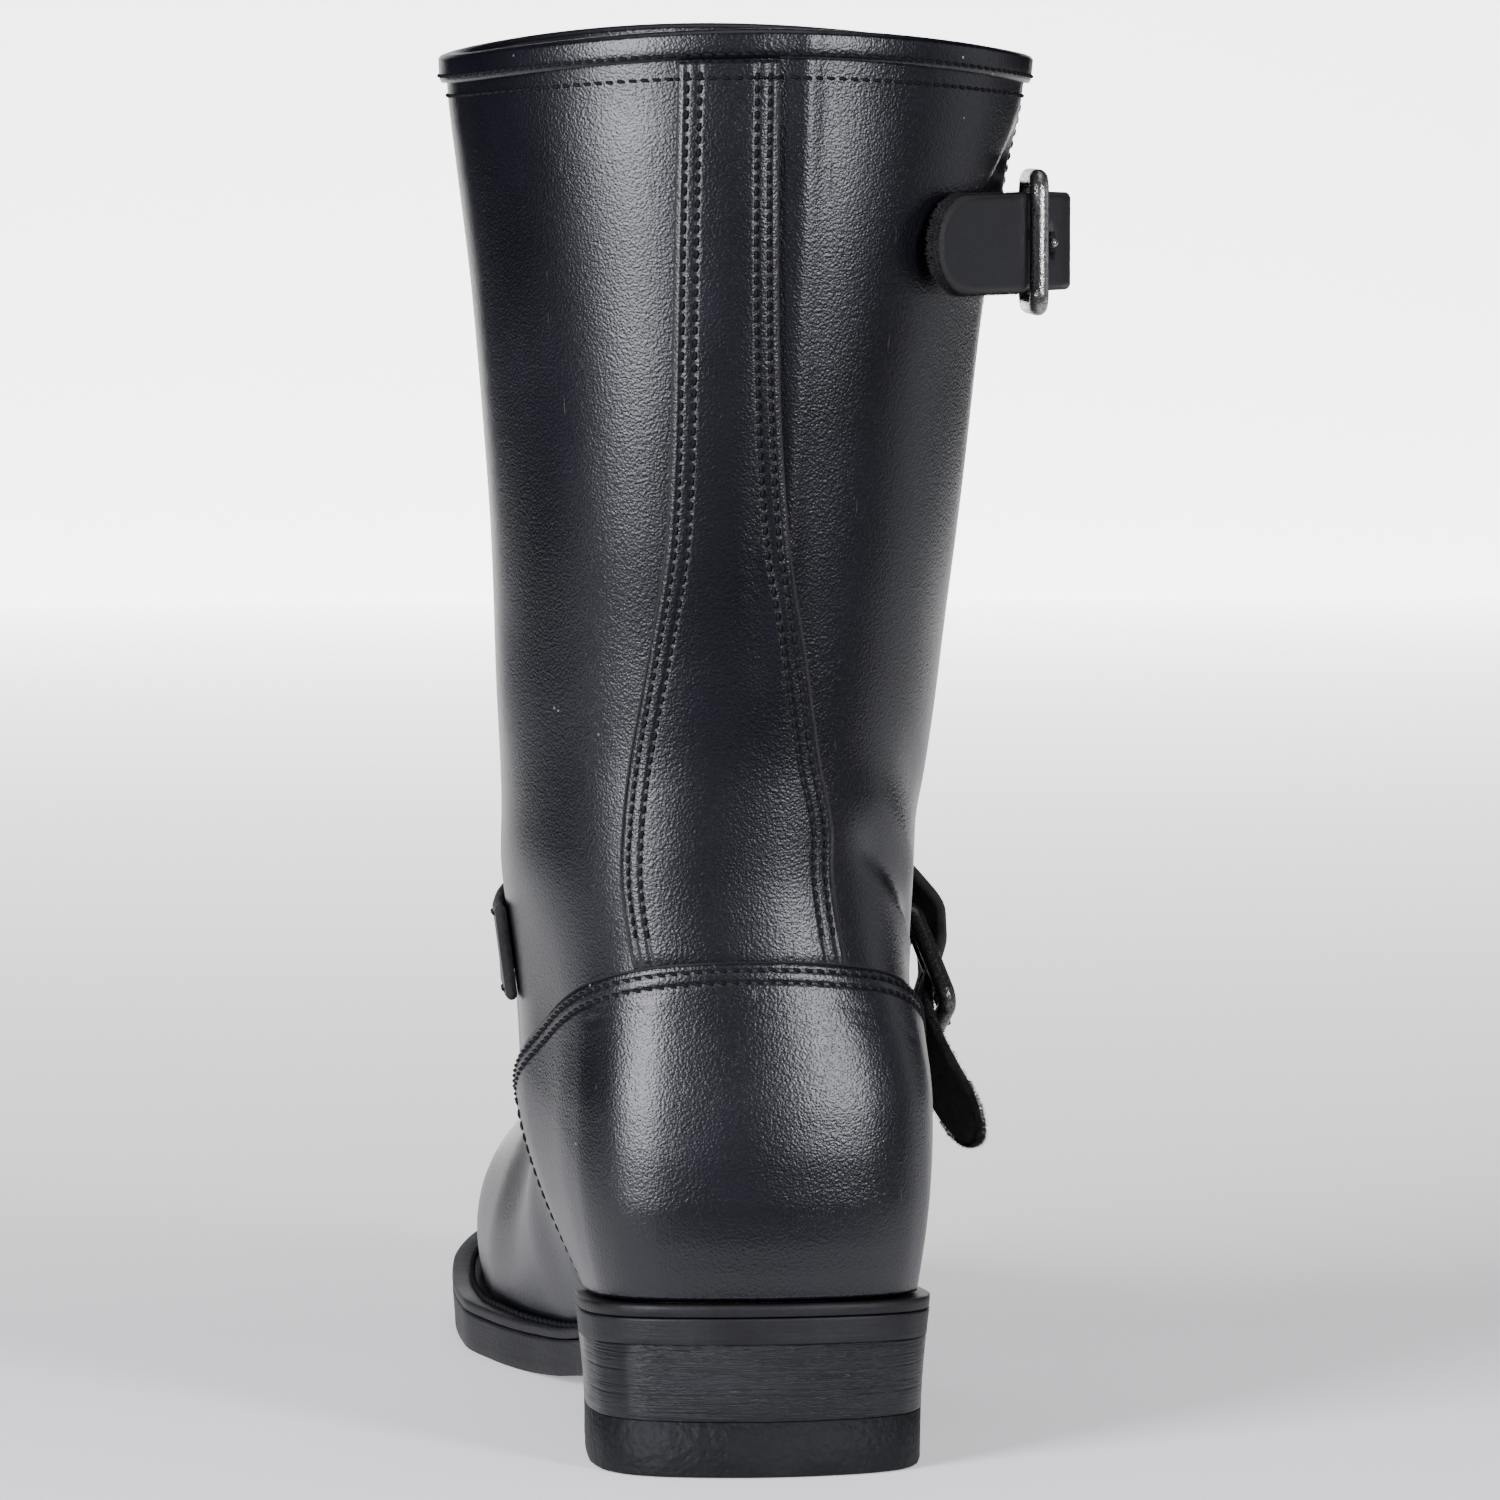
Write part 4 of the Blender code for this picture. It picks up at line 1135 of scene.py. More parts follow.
@dataclass
class BackStrip:
    """Strip over the back seam, wide at its foot, with two rows of stitches inside each edge."""

    last: Last
    relief: Relief
    thick: float = 1.5 * MM
    gap: float = 0.6 * MM
    foot: float = 108 * MM
    binding_deep: float = 5.3 * MM
    columns: int = 45
    rows: int = 170
    stitch_rows: tuple[float, ...] = (2.2 * MM, 4.9 * MM)
    roll: float = 0.5 * MM
    roll_wide: float = 1.4 * MM
    # the strip's foot thins so that the counter covers it
    tuck: float = 0.8 * MM
    tuck_tall: float = 5 * MM
    # height share, middle, half width
    shape: tuple = (
        (0.30, -1.6 * MM, 23.5 * MM), (0.44, -1.8 * MM, 23.2 * MM), (0.50, -3.3 * MM, 20.5 * MM),
        (0.58, -3.9 * MM, 16.5 * MM), (0.66, -5.0 * MM, 12.8 * MM), (0.76, -6.2 * MM, 11.4 * MM),
        (1.00, -7.9 * MM, 10.6 * MM))

    def runs(self, level: float, across: Grid) -> Grid:
        """Turns across the strip at a level.

        Args:
            level: The level.
            across: Places, -1 at one edge to 1 at the other.

        Returns:
            The turns.
        """
        tall = self.last.share_at(level * self.last.rim_level)
        half, middle = read(self.shape, 2, tall), read(self.shape, 1, tall)
        return self.last.arc_turns(level, middle + across * half)

    def half(self, level: float) -> float:
        """Half width at a level."""
        tall = self.last.share_at(level * self.last.rim_level)
        return float(read(self.shape, 2, tall))

    def build(self, hide: Material, cut: Material, thread: Stitching) -> None:
        """Builds the strip and its stitching.

        Args:
            hide: Material of the outside.
            cut: Material of the inside and the cut edges.
            thread: Stitching to add to.
        """
        across = np.linspace(-1, 1, self.columns)
        top = 1 - self.binding_deep / self.last.rim_level
        heights = np.linspace(self.last.level_at(self.foot), top, self.rows)
        turns = np.array([self.runs(level, across) for level in heights])
        levels = np.repeat(heights[:, None], self.columns, axis=1)
        halves = np.array([self.half(level) for level in heights])[:, None]
        edge = (1 - np.abs(across))[None, :] * halves
        base, normal = self.relief.over(turns, levels)
        roll = self.roll * (1 - ease(edge / self.roll_wide))
        tucked = self.tuck * (1 - ease((levels - heights[0]) * self.last.rim_level / self.tuck_tall))
        outside = base + normal * (self.gap + self.thick - roll - tucked)[..., None]
        inside = base + normal * self.gap
        piece = sheet_solid("back_strip_leather", outside, inside, [hide, cut, cut], edge=edge)
        settle(piece, Layer.BOOT, "back_strip")
        for side in (-1, 1):
            for depth in self.stitch_rows:
                path = [self.runs(level, np.array([side * (1 - depth / self.half(level))]))[0]
                        for level in heights]
                thread.row(*self.relief.over(np.array(path)[6:], heights[6:], self.gap + self.thick))


@dataclass
class Binding:
    """Rolled leather edge over the rim, ending at each side of the slit."""

    last: Last
    relief: Relief
    thick: float = 1.2 * MM
    deep: float = 5 * MM
    columns: int = 240
    upper_row: float = 4.0 * MM
    lower_row: float = 9.0 * MM
    slit_row_end: float = 62 * MM
    # turn between the slit and the stitches beside it
    beside_slit: float = 0.012

    def turns(self) -> Grid:
        """Turns from the slit's back edge round to its front edge."""
        start, stop = -self.last.slit_back, -float(self.last.slit_front(1.0))
        return np.linspace(start, stop + 2, self.columns)

    def section(self) -> list[tuple[float, float]]:
        """Section of the roll.

        Returns:
            Pairs of out from the wall and up from the rim.
        """
        t, d, w = self.thick, self.deep, self.last.leather
        outer = [(SIT, -d), (SIT + 0.7 * t, -d), (SIT + t, -d + 0.6 * MM),
                 (SIT + 1.05 * t, -0.5 * d), (SIT + t, 0.0)]
        middle, half = -w / 2, w / 2 + SIT + t
        crown = [(middle + half * math.cos(a), (t + 0.1 * MM) * math.sin(a))
                 for a in np.linspace(0.25, math.pi - 0.25, 7)]
        inner = [(-w - SIT - t, 0.0), (-w - SIT - 1.05 * t, -0.5 * d), (-w - SIT - t, -d + 0.6 * MM),
                 (-w - SIT - 0.7 * t, -d), (-w - SIT, -d), (-w - SIT, SIT), (SIT, SIT)]
        return outer + crown + inner

    def build(self, hide: Material, strip: BackStrip, thread: Stitching) -> None:
        """Builds the roll, the two rows of stitches under it and those along the slit.

        Args:
            hide: Its material.
            strip: The strip that the rows run over.
            thread: Stitching to add to.
        """
        turns = self.turns()
        rim, normal = self.relief.over(turns, 1.0)
        up = unit(self.last.skin(turns, 1.0) - self.last.skin(turns, 0.98))
        section = self.section()
        rings = np.stack([rim + normal * out + up * lift for out, lift in section], axis=1)
        count = len(section)
        faces = [face[1:] + face[:1] for face in ring_faces(self.columns, count)]
        last = (self.columns - 1) * count
        faces += [tuple(range(count)), tuple(last + i for i in range(count))[::-1]]
        piece = add_mesh("top_binding_leather", rings.reshape(-1, 3), faces, [hide])
        settle(piece, Layer.BOOT, "top_binding")
        inside = turns[2:-2]
        for down, out in ((self.upper_row, SIT + self.thick), (self.lower_row, 0.0)):
            level = 1 - down / self.last.rim_level
            ends = np.sort(strip.runs(level, np.array([-1.0, 1.0])))
            over = (inside > ends[0]) & (inside < ends[1])
            rise = np.where(over, np.maximum(out, strip.gap + strip.thick), out)
            thread.row(*self.relief.over(inside, level, rise))
        edge = 1 - np.linspace(self.lower_row, self.slit_row_end, 60) / self.last.rim_level
        beside = self.beside_slit
        for place in (beside - self.last.slit_back, -(self.last.slit_front(edge) + beside)):
            place = np.broadcast_to(place, edge.shape)
            thread.row(*self.relief.over(place, edge))


@dataclass
class Sole:
    """Outsole, welt, insole, stacked heel and rubber top lift."""

    last: Last
    points: int = 120

    def turns(self) -> Grid:
        """Turns round the sole, inner side first."""
        inner = np.linspace(0, 1, self.points + 1)
        return np.concatenate([inner, -inner[::-1][1:-1]])

    def outline(self) -> Grid:
        """Edge of the sole.

        Returns:
            Points from the back along the inner side.
        """
        turns = self.turns()
        ys = (1 - np.cos(math.pi * np.abs(turns))) / 2 * self.last.sole_length - self.last.heel_reach
        inner, outer = self.last.sole_reach(ys)
        return np.column_stack([np.where(turns < 0, outer, -inner), ys])

    def heel_outline(self) -> Grid:
        """Edge of the heel behind its front face.

        Returns:
            Points from the back along the inner side.
        """
        ys = np.linspace(0, 1, 61) ** 1.6 * self.last.heel_length - self.last.heel_reach
        inner, outer = self.last.sole_reach(ys)
        return np.vstack([np.column_stack([-inner, ys]), np.column_stack([outer, ys])[::-1][:-1]])

    def feather(self, inset: float) -> Grid:
        """Line where the upper meets the welt, moved in."""
        return move_in(self.last.skin(self.turns(), 0.0)[:, :2], inset)

    def slab(self, name: str, loop: Grid, bottom: Callable, top: Callable,
             profile: Sequence[tuple[float, float, float]], material: Material,
             layer: Layer, node: str) -> None:
        """Solid between two heights inside an outline.

        Args:
            name: The piece's name.
            loop: Its outline.
            bottom: Height of its lower face at a distance.
            top: Height of its upper face at a distance.
            profile: Its side from the bottom up: share of the height, lift, inset.
            material: Its material.
            layer: Its finish in the record.
            node: The solid it stands for.
        """
        rings = []
        for share, lift, inset in profile:
            outline = move_in(loop, inset)
            low, high = bottom(outline[:, 1]), top(outline[:, 1])
            rings.append(np.column_stack([outline, low + (high - low) * share + lift]))
        count, faces = len(loop), ring_faces(len(rings), len(loop))
        above = (len(rings) - 1) * count
        for i in range(count // 2):
            rung = list(dict.fromkeys((i, i + 1, count - i - 1, (count - i) % count)))
            faces.append(tuple(rung))
            faces.append(tuple(above + v for v in reversed(rung)))
        settle(add_mesh(name, np.vstack(rings), faces, [material]), layer, node)

    def welt(self, material: Material) -> None:
        """Builds the welt: a flat ring with a rounded edge and a groove under its lip.

        Args:
            material: Its material.
        """
        outer, inner = move_in(self.outline(), 0.4 * MM), self.feather(self.last.leather + SIT)
        thick = self.last.welt_thick
        places = ((inner, 0.0, 0.0), (outer, 0.0, 0.1 * MM), (outer, 0.06, -0.22 * MM),
                  (outer, 0.6, -0.35 * MM), (outer, 0.92, -0.35 * MM), (outer, 1.0, 0.0), (inner, 1.0, 0.0))
        rings = []
        for loop, share, inset in places:
            line = move_in(loop, inset) if inset else loop
            rings.append(np.column_stack([line, self.last.welt_top(line[:, 1]) - thick * (1 - share)]))
        faces = ring_faces(len(rings), len(outer), True)
        settle(add_mesh("welt_leather", np.vstack(rings), faces, [material]), Layer.SOLE, "welt")

    def build(self, edge: Material, stack: Material, rubber: Material,
              insole: Material, thread: Material) -> None:
        """Builds every layer and the welt's stitches.

        Args:
            edge: Material of outsole and welt.
            stack: Material of the leather lifts.
            rubber: Material of the top lift.
            insole: Material of the insole.
            thread: Material of the stitches.
        """
        last, whole, r = self.last, self.outline(), 0.8 * MM
        rounded = ((0, 0, 0.85 * MM), (0, 0.1 * MM, 0.72 * MM), (0.25, 0, 0.62 * MM), (0.6, 0, 0.40 * MM),
                   (0.9, 0, 0.15 * MM), (1, -0.1 * MM, 0.15 * MM), (1, 0, 0.3 * MM))
        self.slab("outsole_leather", whole, last.outsole_bottom, last.outsole_top, rounded, edge,
                  Layer.SOLE, "outsole")
        self.welt(edge)
        self.slab("insole_leather", self.feather(last.leather + 2 * SIT),
                  lambda y: last.welt_top(y) - last.welt_thick,
                  lambda y: last.welt_top(y) - last.welt_thick + last.insole_thick,
                  ((0, 0, r), (0, r, 0), (1, -r, 0), (1, 0, r)), insole, Layer.INSOLE, "insole")
        heel = move_in(self.heel_outline(), last.heel_taper)
        waist = ((0, 0, 0.0), (0, 0.15 * MM, -0.25 * MM), (0.3, 0, -0.45 * MM), (0.65, 0, -0.85 * MM),
                 (0.97, 0, -1.35 * MM), (1, 0, -1.15 * MM))
        self.slab("heel_stack_leather", heel, lambda y: 0 * y + last.top_lift_thick + 0.2 * SIT,
                  lambda y: last.outsole_bottom(y) - 0.2 * SIT, waist, stack, Layer.HEEL, "heel_stack")
        block = ((0, 0, 0.5 * MM), (0, 0.2 * MM, 0.2 * MM), (0, 0.8 * MM, 0.0),
                 (1, -0.2 * MM, -0.2 * MM), (1, 0, 0.0))
        self.slab("top_lift_rubber", heel, lambda y: 0 * y, lambda y: 0 * y + last.top_lift_thick, block,
                  rubber, Layer.RUBBER, "top_lift")
        stitches = Stitching(pitch=3.0 * MM, length=2.5 * MM, radius=0.75 * MM)
        line = 0.36 * self.outline() + 0.64 * self.feather(0.0)
        ahead = line[:, 1] > 18 * MM
        line = np.roll(line, -np.argmax(ahead), axis=0)[:int(ahead.sum())]
        path = np.column_stack([line, last.welt_top(line[:, 1])])
        up = np.tile([0.0, 0.0, 1.0], (len(path), 1))
        stitches.row(path, up, sink=-0.1 * MM, slant=0.0)
        stitches.make("welt_stitches", thread)


@dataclass
class Fastening:
    """Buckle, chape and strap over the boot's side, in the buckle's own plane."""

    last: Last
    name: str
    spot: tuple[float, float]
    ahead: tuple[float, float]
    lead: tuple
    chape: tuple
    tail: tuple
    upright: bool = False
    lead_points: int = 12
    strap_width: float = 21.4 * MM
    strap_thick: float = 2.5 * MM
    chape_width: float = 20 * MM
    chape_thick: float = 1.8 * MM
    slot_width: float = 4.4 * MM
    bar: float = 2.1 * MM
    prong: float = 1.2 * MM
    frame_tall: float = 32 * MM
    hinge: tuple[float, float] = (12.2 * MM, 7.8 * MM)
    far: tuple[float, float] = (-12.2 * MM, 9.7 * MM)
    through: tuple = in_mm((26.0, 8.8), (19.0, 13.0), (12.5, 14.6), (6.5, 13.2), (0.5, 10.0), (-5.5, 6.5),
                           (-11.0, 4.8))
    slot_middle: tuple[float, float] = (-1.5 * MM, 10.4 * MM)
    slot_reach: float = 4.0 * MM
    frame_corner: float = 3.2 * MM
    row_step: float = 1.2 * MM
    tip_rows: int = 14
    sewn_end: int = 16
    fibres: int = 5200
    fibre_half: float = 0.10 * MM
    fibre_flat: float = 0.09 * MM
    frayed: float = 26 * MM
    bar_sides: int = 16

    def __post_init__(self) -> None:
        """Sets up the buckle's plane."""
        level = self.last.level_at(self.spot[1] * self.last.boot_height)
        ahead = self.last.level_at(self.ahead[1] * self.last.boot_height)
        self.origin = self.last.skin(self.spot[0], level)
        out = self.last.normal(self.spot[0], level) * ((1, 1, 0) if self.upright else (1, 1, 1))
        self.out = unit(out)
        way = self.last.skin(self.ahead[0], ahead) - self.origin
        self.forward = unit(way - self.out * (way @ self.out))
        self.side = np.cross(self.out, self.forward)

    def at(self, along: float, out: float, side: float = 0.0) -> Grid:
        """Point in the buckle's plane."""
        return self.origin + self.forward * along + self.out * out + self.side * side

    def over_side(self, rows: Sequence, count: int) -> tuple[list, list]:
        """Middle line of a strap over the upper.

        Args:
            rows: Turn, share of height and stand-off at each knot.
            count: Number of points.

        Returns:
            Centres and normals.
        """
        ends, at = np.linspace(0, 1, len(rows)), np.linspace(0, 1, count)
        turns, tall, off = (smooth(ends, [row[i] for row in rows], at) for i in range(3))
        turns = np.where(turns > 1, turns - 2, turns)
        level = self.last.level_at(tall * self.last.boot_height)
        normal = self.last.normal(turns, level)
        return list(self.last.skin(turns, level) + normal * off[:, None]), list(normal)

    def band(self, name: str, centres: Grid, normals: Grid, halves: Grid, thick: float,
             pierced: set[int], materials: Sequence[Material], node: str,
             to_tip: Grid | None = None) -> bpy.types.Object:
        """Flat strip with a soft rounded face and a slot down the middle of its pierced rows.

        Args:
            name: The piece's name.
            centres: Its middle line.
            normals: Its normals there.
            halves: Its half widths.
            thick: Its thickness.
            pierced: Rows with a slot.
            materials: Its materials.
            node: The solid it stands for.
            to_tip: Distance of each row from a rounded tip.

        Returns:
            The piece.
        """
        run = np.gradient(centres, axis=0)
        across = unit(np.cross(run, normals))
        normals = unit(np.cross(across, run))
        slot = self.slot_width / 2
        shares = [-1.0, -0.96, -0.90, -0.82, -0.7, -0.5]
        spots = []
        for half in halves:
            side = [s * half for s in shares]
            spots.append(side + [-min(slot, 0.45 * half), min(slot, 0.45 * half)] + [-s for s in side[::-1]])
        spots = np.array(spots)
        edge = halves[:, None] - np.abs(spots)
        if to_tip is not None:
            full = halves.max()
            behind = np.clip(full - to_tip, 0, None)[:, None]
            edge = np.where(behind > 0, full - np.hypot(behind, spots), edge)
            edge = np.maximum(edge, 0) * (1 + 1.5 * ease((to_tip / full - 0.8) / 0.8))[:, None]
        roll = 0.35 * thick * (1 - ease(edge / (1.8 * MM)))
        base = centres[:, None, :] + across[:, None, :] * spots[..., None]
        lift = normals[:, None, :] * (thick / 2 - roll)[..., None]
        missing = {(r, len(shares)) for r in sorted(pierced)}
        return settle(sheet_solid(name, base + lift, base - lift, materials, missing=missing, edge=edge),
                      Layer.BOOT, node)

    def build_strap(self, hide: Material, flesh: Material, thread: Stitching) -> None:
        """Builds the strap, its frayed tail and the stitches at its sewn end.

        Args:
            hide: Material of the face.
            flesh: Material of the back and the cut edges.
            thread: Stitching to add to.
        """
        centres, normals = self.over_side(self.lead, self.lead_points)
        for s, n in (*self.through, *self.tail):
            centres.append(self.at(s, n + self.strap_thick / 2))
            normals.append(self.out)
        centres, normals = np.array(centres), np.array(normals)
        run = run_of(centres)
        at, close = np.linspace(0, run[-1], int(run[-1] / self.row_step)), self.tip_rows
        at[-close:] = run[-1] - (run[-1] - at[-close]) * np.linspace(1, 0, close) ** 1.7
        centres = np.column_stack([smooth(run, centres[:, i], at) for i in range(3)])
        normals = unit(np.column_stack([smooth(run, normals[:, i], at) for i in range(3)]))
        half = self.strap_width / 2
        left = np.clip((at[-1] - at) / half, 0, 1)
        halves = half * np.sqrt(np.maximum(1 - (1 - left) ** 2, 0.06))
        crossing = self.at(*self.slot_middle)
        near = np.linalg.norm((centres[1:] + centres[:-1]) / 2 - crossing, axis=1)
        pierced = {r for r in range(len(near)) if near[r] < self.slot_reach}
        self.band(f"{self.name}_strap_leather", centres, normals, halves, self.strap_thick, pierced,
                  [hide, flesh, flesh], f"{self.name}_strap", at[-1] - at)
        self.fray(centres, normals, halves, flesh)
        across = unit(np.cross(np.gradient(centres, axis=0), normals))
        for share in (-0.8, 0.8):
            path = (centres + across * share * half + normals * self.strap_thick / 2)[1:self.sewn_end]
            thread.row(path, normals[1:self.sewn_end])

    def fray(self, centres: Grid, normals: Grid, halves: Grid, flesh: Material) -> None:
        """Builds short fibres round the cut edge of the tail.

        Args:
            centres: The strap's middle line.
            normals: Its normals there.
            halves: Its half widths.
            flesh: Material of the fibres.
        """
        chance = np.random.default_rng(7)
        across = unit(np.cross(np.gradient(centres, axis=0), normals))
        along = unit(np.gradient(centres, axis=0))
        from_tip = run_of(centres[::-1])[::-1]
        half = halves.max()
        points, faces = [], []
        for _ in range(self.fibres):
            angle = chance.random() * math.pi / 2
            behind = half * (1 - math.cos(angle))
            if chance.random() < 0.3:
                angle, behind = math.pi / 2, half + self.frayed * chance.random()
            k = int(np.argmin(np.abs(from_tip - behind)))
            side = 1.0 if chance.random() < 0.5 else -1.0
            root = centres[k] + along[k] * (from_tip[k] - behind) + across[k] * side * half * math.sin(angle)
            root = root + normals[k] * self.strap_thick * (chance.random() - 0.5) * 0.9
            way = across[k] * side * math.sin(angle) + along[k] * (math.cos(angle) + chance.normal() * 0.5)
            way = unit(way + normals[k] * chance.normal() * 0.5)
            thin = unit(np.cross(way, normals[k] + 0.3)) * self.fibre_half
            long = (0.3 + (0.4 + 0.7 * math.cos(angle)) * chance.random()) * MM
            base = len(points)
            bend = normals[k] * chance.normal() * 0.25 * MM
            third = np.cross(way, unit(thin)) * self.fibre_flat
            points += [root + thin, root - thin, root + third, root + way * long + bend]
            faces += [(base, base + 1, base + 3), (base + 1, base + 2, base + 3), (base + 2, base, base + 3),
                      (base + 2, base + 1, base)]
        settle(add_mesh(f"{self.name}_strap_fibres", np.array(points), faces, [flesh]), Layer.BOOT)

    def build_chape(self, hide: Material, flesh: Material) -> None:
        """Builds the short strap that holds the buckle's hinge bar.

        Args:
            hide: Material of the face.
            flesh: Material of the back and the cut edges.
        """
        centres, normals = self.over_side(self.chape, 12)
        wrap = self.bar + SIT + self.chape_thick / 2
        for a in np.radians(np.linspace(-90, 100, 19)):
            centres.append(self.at(self.hinge[0] + wrap * math.cos(a), self.hinge[1] + wrap * math.sin(a)))
            normals.append(-(self.forward * math.cos(a) + self.out * math.sin(a)))
        centres, normals = np.array(centres), np.array(normals)
        pierced = set(range(11, len(centres) - 1))
        halves = np.full(len(centres), self.chape_width / 2)
        self.band(f"{self.name}_chape_leather", centres, normals, halves, self.chape_thick, pierced,
                  [hide, flesh, flesh], f"{self.name}_chape")

    def tube(self, name: str, path: Grid, radii: Sequence[float], closed: bool,
             material: Material, node: str) -> None:
        """Builds a round bar along a path in a plane.

        Args:
            name: The piece's name.
            path: Its middle line.
            radii: Its radius at each point.
            closed: Whether it is a ring.
            material: Its material.
            node: The solid it stands for.
        """
        path = np.asarray(path)
        around = np.roll(path, -1, axis=0) - np.roll(path, 1, axis=0)
        run = unit(around if closed else np.gradient(path, axis=0))
        flat = unit(np.cross(path[1] - path[0], path[len(path) // 2] - path[0]))
        side = np.cross(run, flat)
        sides = self.bar_sides
        angles = np.linspace(0, 2 * math.pi, sides + 1)[:-1]
        rings = [[p + r * (math.cos(a) * s + math.sin(a) * flat) for a in angles]
                 for p, s, r in zip(path, side, radii)]
        faces = ring_faces(len(path), sides, closed)
        if not closed:
            faces.append(tuple(range(sides)))
            faces.append(tuple((len(path) - 1) * sides + i for i in range(sides))[::-1])
        settle(add_mesh(name, np.vstack(rings), faces, [material]), Layer.METAL, node)

    def build_buckle(self, metal: Material) -> None:
        """Builds the frame and the prong.

        Args:
            metal: Their material.
        """
        reach, corner = (self.frame_tall - 2 * self.bar) / 2, self.frame_corner
        slope = (self.hinge[1] - self.far[1]) / (self.hinge[0] - self.far[0])
        path = []
        corners = ((self.far, 1, 1), (self.hinge, -1, 1), (self.hinge, -1, -1), (self.far, 1, -1))
        for index, ((s, n), fwd, up) in enumerate(corners):
            angles = np.linspace(0, math.pi / 2, 9)
            for angle in angles if index in (0, 2) else angles[::-1]:
                ds = fwd * corner * (1 - math.cos(angle))
                path.append(self.at(s + ds, n + slope * ds, up * (reach - corner * (1 - math.sin(angle)))))
        self.tube(f"{self.name}_buckle_frame", path, [self.bar] * len(path), True, metal,
                  f"{self.name}_buckle")
        ring = self.bar + SIT + self.prong
        pin = [(self.hinge[0] + ring * math.cos(a), self.hinge[1] + ring * math.sin(a))
               for a in np.linspace(math.radians(-170), math.radians(80), 24)]
        end = (self.far[0] + 0.4 * MM, self.far[1] + self.bar + self.prong)
        start = pin[-1]
        pin += [tuple(np.add(start, np.subtract(end, start) * t)) for t in np.linspace(0.08, 1, 12)]
        radii = [self.prong] * (len(pin) - 3) + [0.95 * self.prong, 0.8 * self.prong, 0.5 * self.prong]
        self.tube(f"{self.name}_buckle_prong", [self.at(s, n) for s, n in pin], radii, False, metal,
                  f"{self.name}_prong")


@dataclass
class Studio:
    """Camera behind the boot, soft lights and a pale floor."""

    azimuth: float = -6.0
    distance: float = 1.8446
    height: float = 0.2958
    pitch: float = 4.3562
    lens: float = 203.0
    sensor: float = 36.0
    dim: float = 0.012
    glow: float = 0.12
    shine: float = 3.2
    tint: tuple[float, float, float] = (0.92, 0.92, 1.0)
    aim: tuple[float, float, float] = (0.0, 0.02, 0.16)
    sides: tuple[float, float] = (-0.7, 1.1)
    ends: tuple[float, float] = (-0.12, 3.2)
    wall_span: tuple[float, float] = (-0.001, 0.9)
    sunk: float = 0.0002
    # name, place, width and height, watts
    lamps: tuple = (
        ("left_light", (-1.16, -1.00, 0.52), (0.60, 1.0), 56.0),
        ("right_light", (0.80, -1.30, 0.48), (0.28, 0.44), 25.0),
        ("low_light", (-0.06, -0.80, -0.06), (0.10, 0.22), 0.10),
        ("side_light", (1.50, 0.25, 0.45), (0.9, 0.9), 2.4),
        ("top_light", (0.0, 0.10, 1.6), (1.2, 1.2), 6.0))

    def camera(self) -> None:
        """Places the camera."""
        turn_round, down = math.radians(self.azimuth), math.radians(self.pitch)
        camera = bpy.data.objects.new("camera", bpy.data.cameras.new("camera"))
        camera.data.lens = self.lens
        camera.data.sensor_width = self.sensor
        across, back = math.sin(turn_round) * self.distance, math.cos(turn_round) * self.distance
        camera.location = (across, -back, self.height)
        camera.rotation_euler = (math.pi / 2 - down, 0.0, turn_round)
        bpy.context.scene.collection.objects.link(camera)
        bpy.context.scene.camera = camera

    def lamp(self, name: str, place: tuple[float, float, float], size: tuple[float, float],
             power: float) -> None:
        """Adds one soft light that faces the boot.

        Args:
            name: Its name.
            place: Its place.
            size: Its width and height.
            power: Its power in watts.
        """
        light = bpy.data.lights.new(name, "AREA")
        light.shape = "RECTANGLE"
        light.size, light.size_y = size
        light.energy = power
        light.color = self.tint
        lamp = bpy.data.objects.new(name, light)
        lamp.location = place
        aim = np.array(self.aim) - np.array(place)
        across, up = math.atan2(aim[0], aim[1]), math.atan2(aim[2], math.hypot(aim[0], aim[1]))
        lamp.rotation_euler = (math.pi / 2 + up, 0.0, -across)
        bpy.context.scene.collection.objects.link(lamp)

    def build(self) -> None:
        """Builds the studio."""
        self.camera()
        for name, place, size, power in self.lamps:
            self.lamp(name, place, size, power)
        left, right, near, far = *self.sides, *self.ends
        floor = np.array([(left, near, 0), (right, near, 0), (right, far, 0), (left, far, 0)])
        floor = floor - (0, 0, self.sunk)
        add_mesh("floor", floor, [(0, 1, 2, 3)], [self.paper("floor_paper", self.glow)])
        self.surroundings()

    def surroundings(self) -> None:
        """Dim studio with a white wall beyond the toe."""
        world = bpy.data.worlds.new("studio")
        bpy.context.scene.world = world
        world.use_nodes = True
        background = world.node_tree.nodes["Background"]
        background.inputs["Color"].default_value = (1.0, 1.0, 1.0, 1.0)
        background.inputs["Strength"].default_value = self.dim
        left, right, far, low, high = *self.sides, self.ends[1], *self.wall_span
        wall = np.array([(left, far, low), (right, far, low), (right, far, high), (left, far, high)])
        add_mesh("wall", wall, [(0, 1, 2, 3)], [self.paper("wall_paper", 1.0)])

    def paper(self, name: str, glow: float) -> Material:
        """Pale matte paper with some light of its own.

        Args:
            name: The material's name.
            glow: Its own light at the near end, as a share of the far end.

        Returns:
            The material.
        """
        kit = NodeKit(name)
        kit.dress(base_color=(0.92, 0.92, 0.92), roughness=0.9)
        far = kit.node("ShaderNodeSeparateXYZ", {}, {"Vector": kit.place()}, "Y").clamp(0.2, 3.0)
        kit.put(kit.shader.inputs["Emission Color"], kit.blend(far, (glow, glow, glow), (1.0, 1.0, 1.0)))
        kit.put(kit.shader.inputs["Emission Strength"], self.shine)
        return kit.material


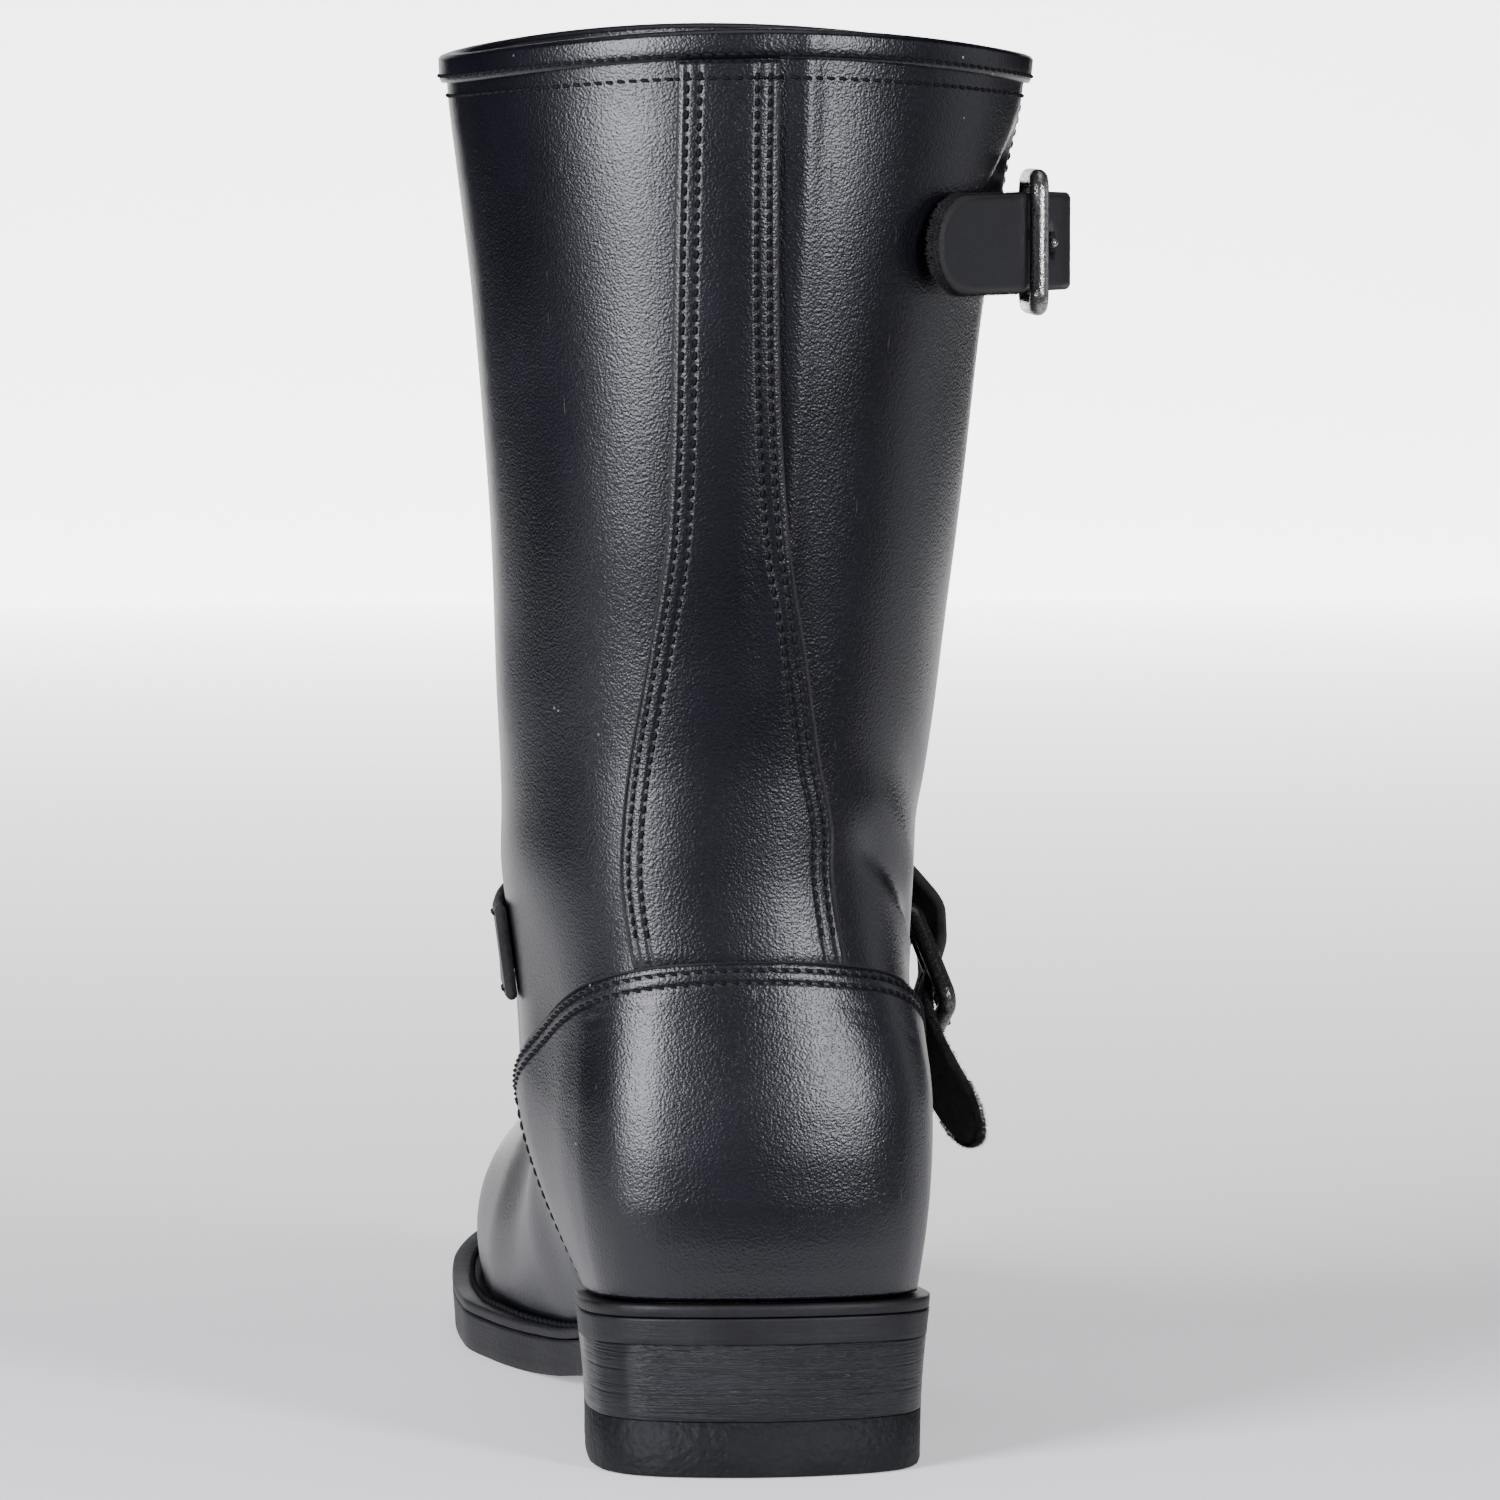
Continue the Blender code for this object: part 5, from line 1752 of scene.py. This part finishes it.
def fastenings(last: Last) -> list[Fastening]:
    """The buckle at the top of the shaft and the one at the instep.

    Args:
        last: The boot's form.

    Returns:
        Both fastenings.
    """
    top = Fastening(
        last, "top", (-0.455, 0.860), (-0.50, 0.860), upright=True,
        lead=((-0.860, 0.860, 1.7 * MM), (-0.800, 0.860, 1.7 * MM), (-0.735, 0.860, 2.2 * MM),
              (-0.690, 0.860, 4.4 * MM), (-0.650, 0.860, 7.6 * MM)),
        chape=((-0.365, 0.858, 1.6 * MM), (-0.410, 0.858, 1.6 * MM), (-0.455, 0.860, 1.6 * MM),
               (-0.480, 0.860, 1.6 * MM)),
        tail=in_mm((-17.0, 3.8), (-24.0, 0.4), (-32.0, -4.6), (-39.0, -9.6), (-46.0, -15.0)))
    low = Fastening(
        last, "instep", (-0.61, 0.323), (-0.66, 0.340), lead_points=26,
        lead=((0.46, 0.352, 1.8 * MM), (0.55, 0.354, 1.9 * MM), (0.70, 0.366, 2.2 * MM),
              (0.85, 0.392, 2.6 * MM), (1.00, 0.412, 3.2 * MM), (1.08, 0.408, 3.4 * MM),
              (1.16, 0.392, 4.6 * MM)),
        chape=((-0.530, 0.296, 3.7 * MM), (-0.565, 0.308, 3.0 * MM), (-0.600, 0.320, 1.7 * MM),
               (-0.622, 0.327, 1.6 * MM)),
        tail=in_mm((-17.0, 5.0), (-25.0, 6.3), (-33.0, 8.2), (-41.0, 10.4)))
    return [top, low]


def main() -> None:
    """Builds and dresses every piece."""
    logging.basicConfig(level=logging.INFO, format="%(message)s")
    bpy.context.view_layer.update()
    last = Last()
    relief = Relief(last)
    hide, cut = BootLeather().make(), FleshLeather().make()
    seamed = BootLeather(name="boot_leather_seamed", seam=Seam((2.1 * MM, 4.8 * MM), 0.5 * MM)).make()
    strap_hide = BootLeather(name="boot_leather_strap", gloss=0.42, grain=1500.0, grain_deep=0.05 * MM,
                             seam=Seam(raw_edge=2.2 * MM)).make()
    thread = Thread().make()

    Studio().build()
    stitches = Stitching()
    Upper(last, relief).build(hide, cut)
    Counter(last, relief).build(seamed, cut, stitches)
    strip = BackStrip(last, relief)
    strip.build(seamed, cut, stitches)
    Binding(last, relief).build(hide, strip, stitches)
    layers = [finish.make() for finish in (SoleEdge(), HeelStack(), LiftRubber(), InsoleLeather())]
    Sole(last).build(*layers, thread)
    nickel = PittedNickel().make()
    # The instep buckle takes a darker copy of the same pitted nickel.
    darker_nickel = PittedNickel("buckle_metal_darker", (0.10, 0.095, 0.092), (0.018, 0.016, 0.016)).make()
    for buckle, metal in zip(fastenings(last), (nickel, darker_nickel)):
        buckle.build_strap(strap_hide, cut, stitches)
        buckle.build_chape(strap_hide, cut)
        buckle.build_buckle(metal)
    stitches.make("upper_stitches", thread)


if __name__ == "__main__":
    main()
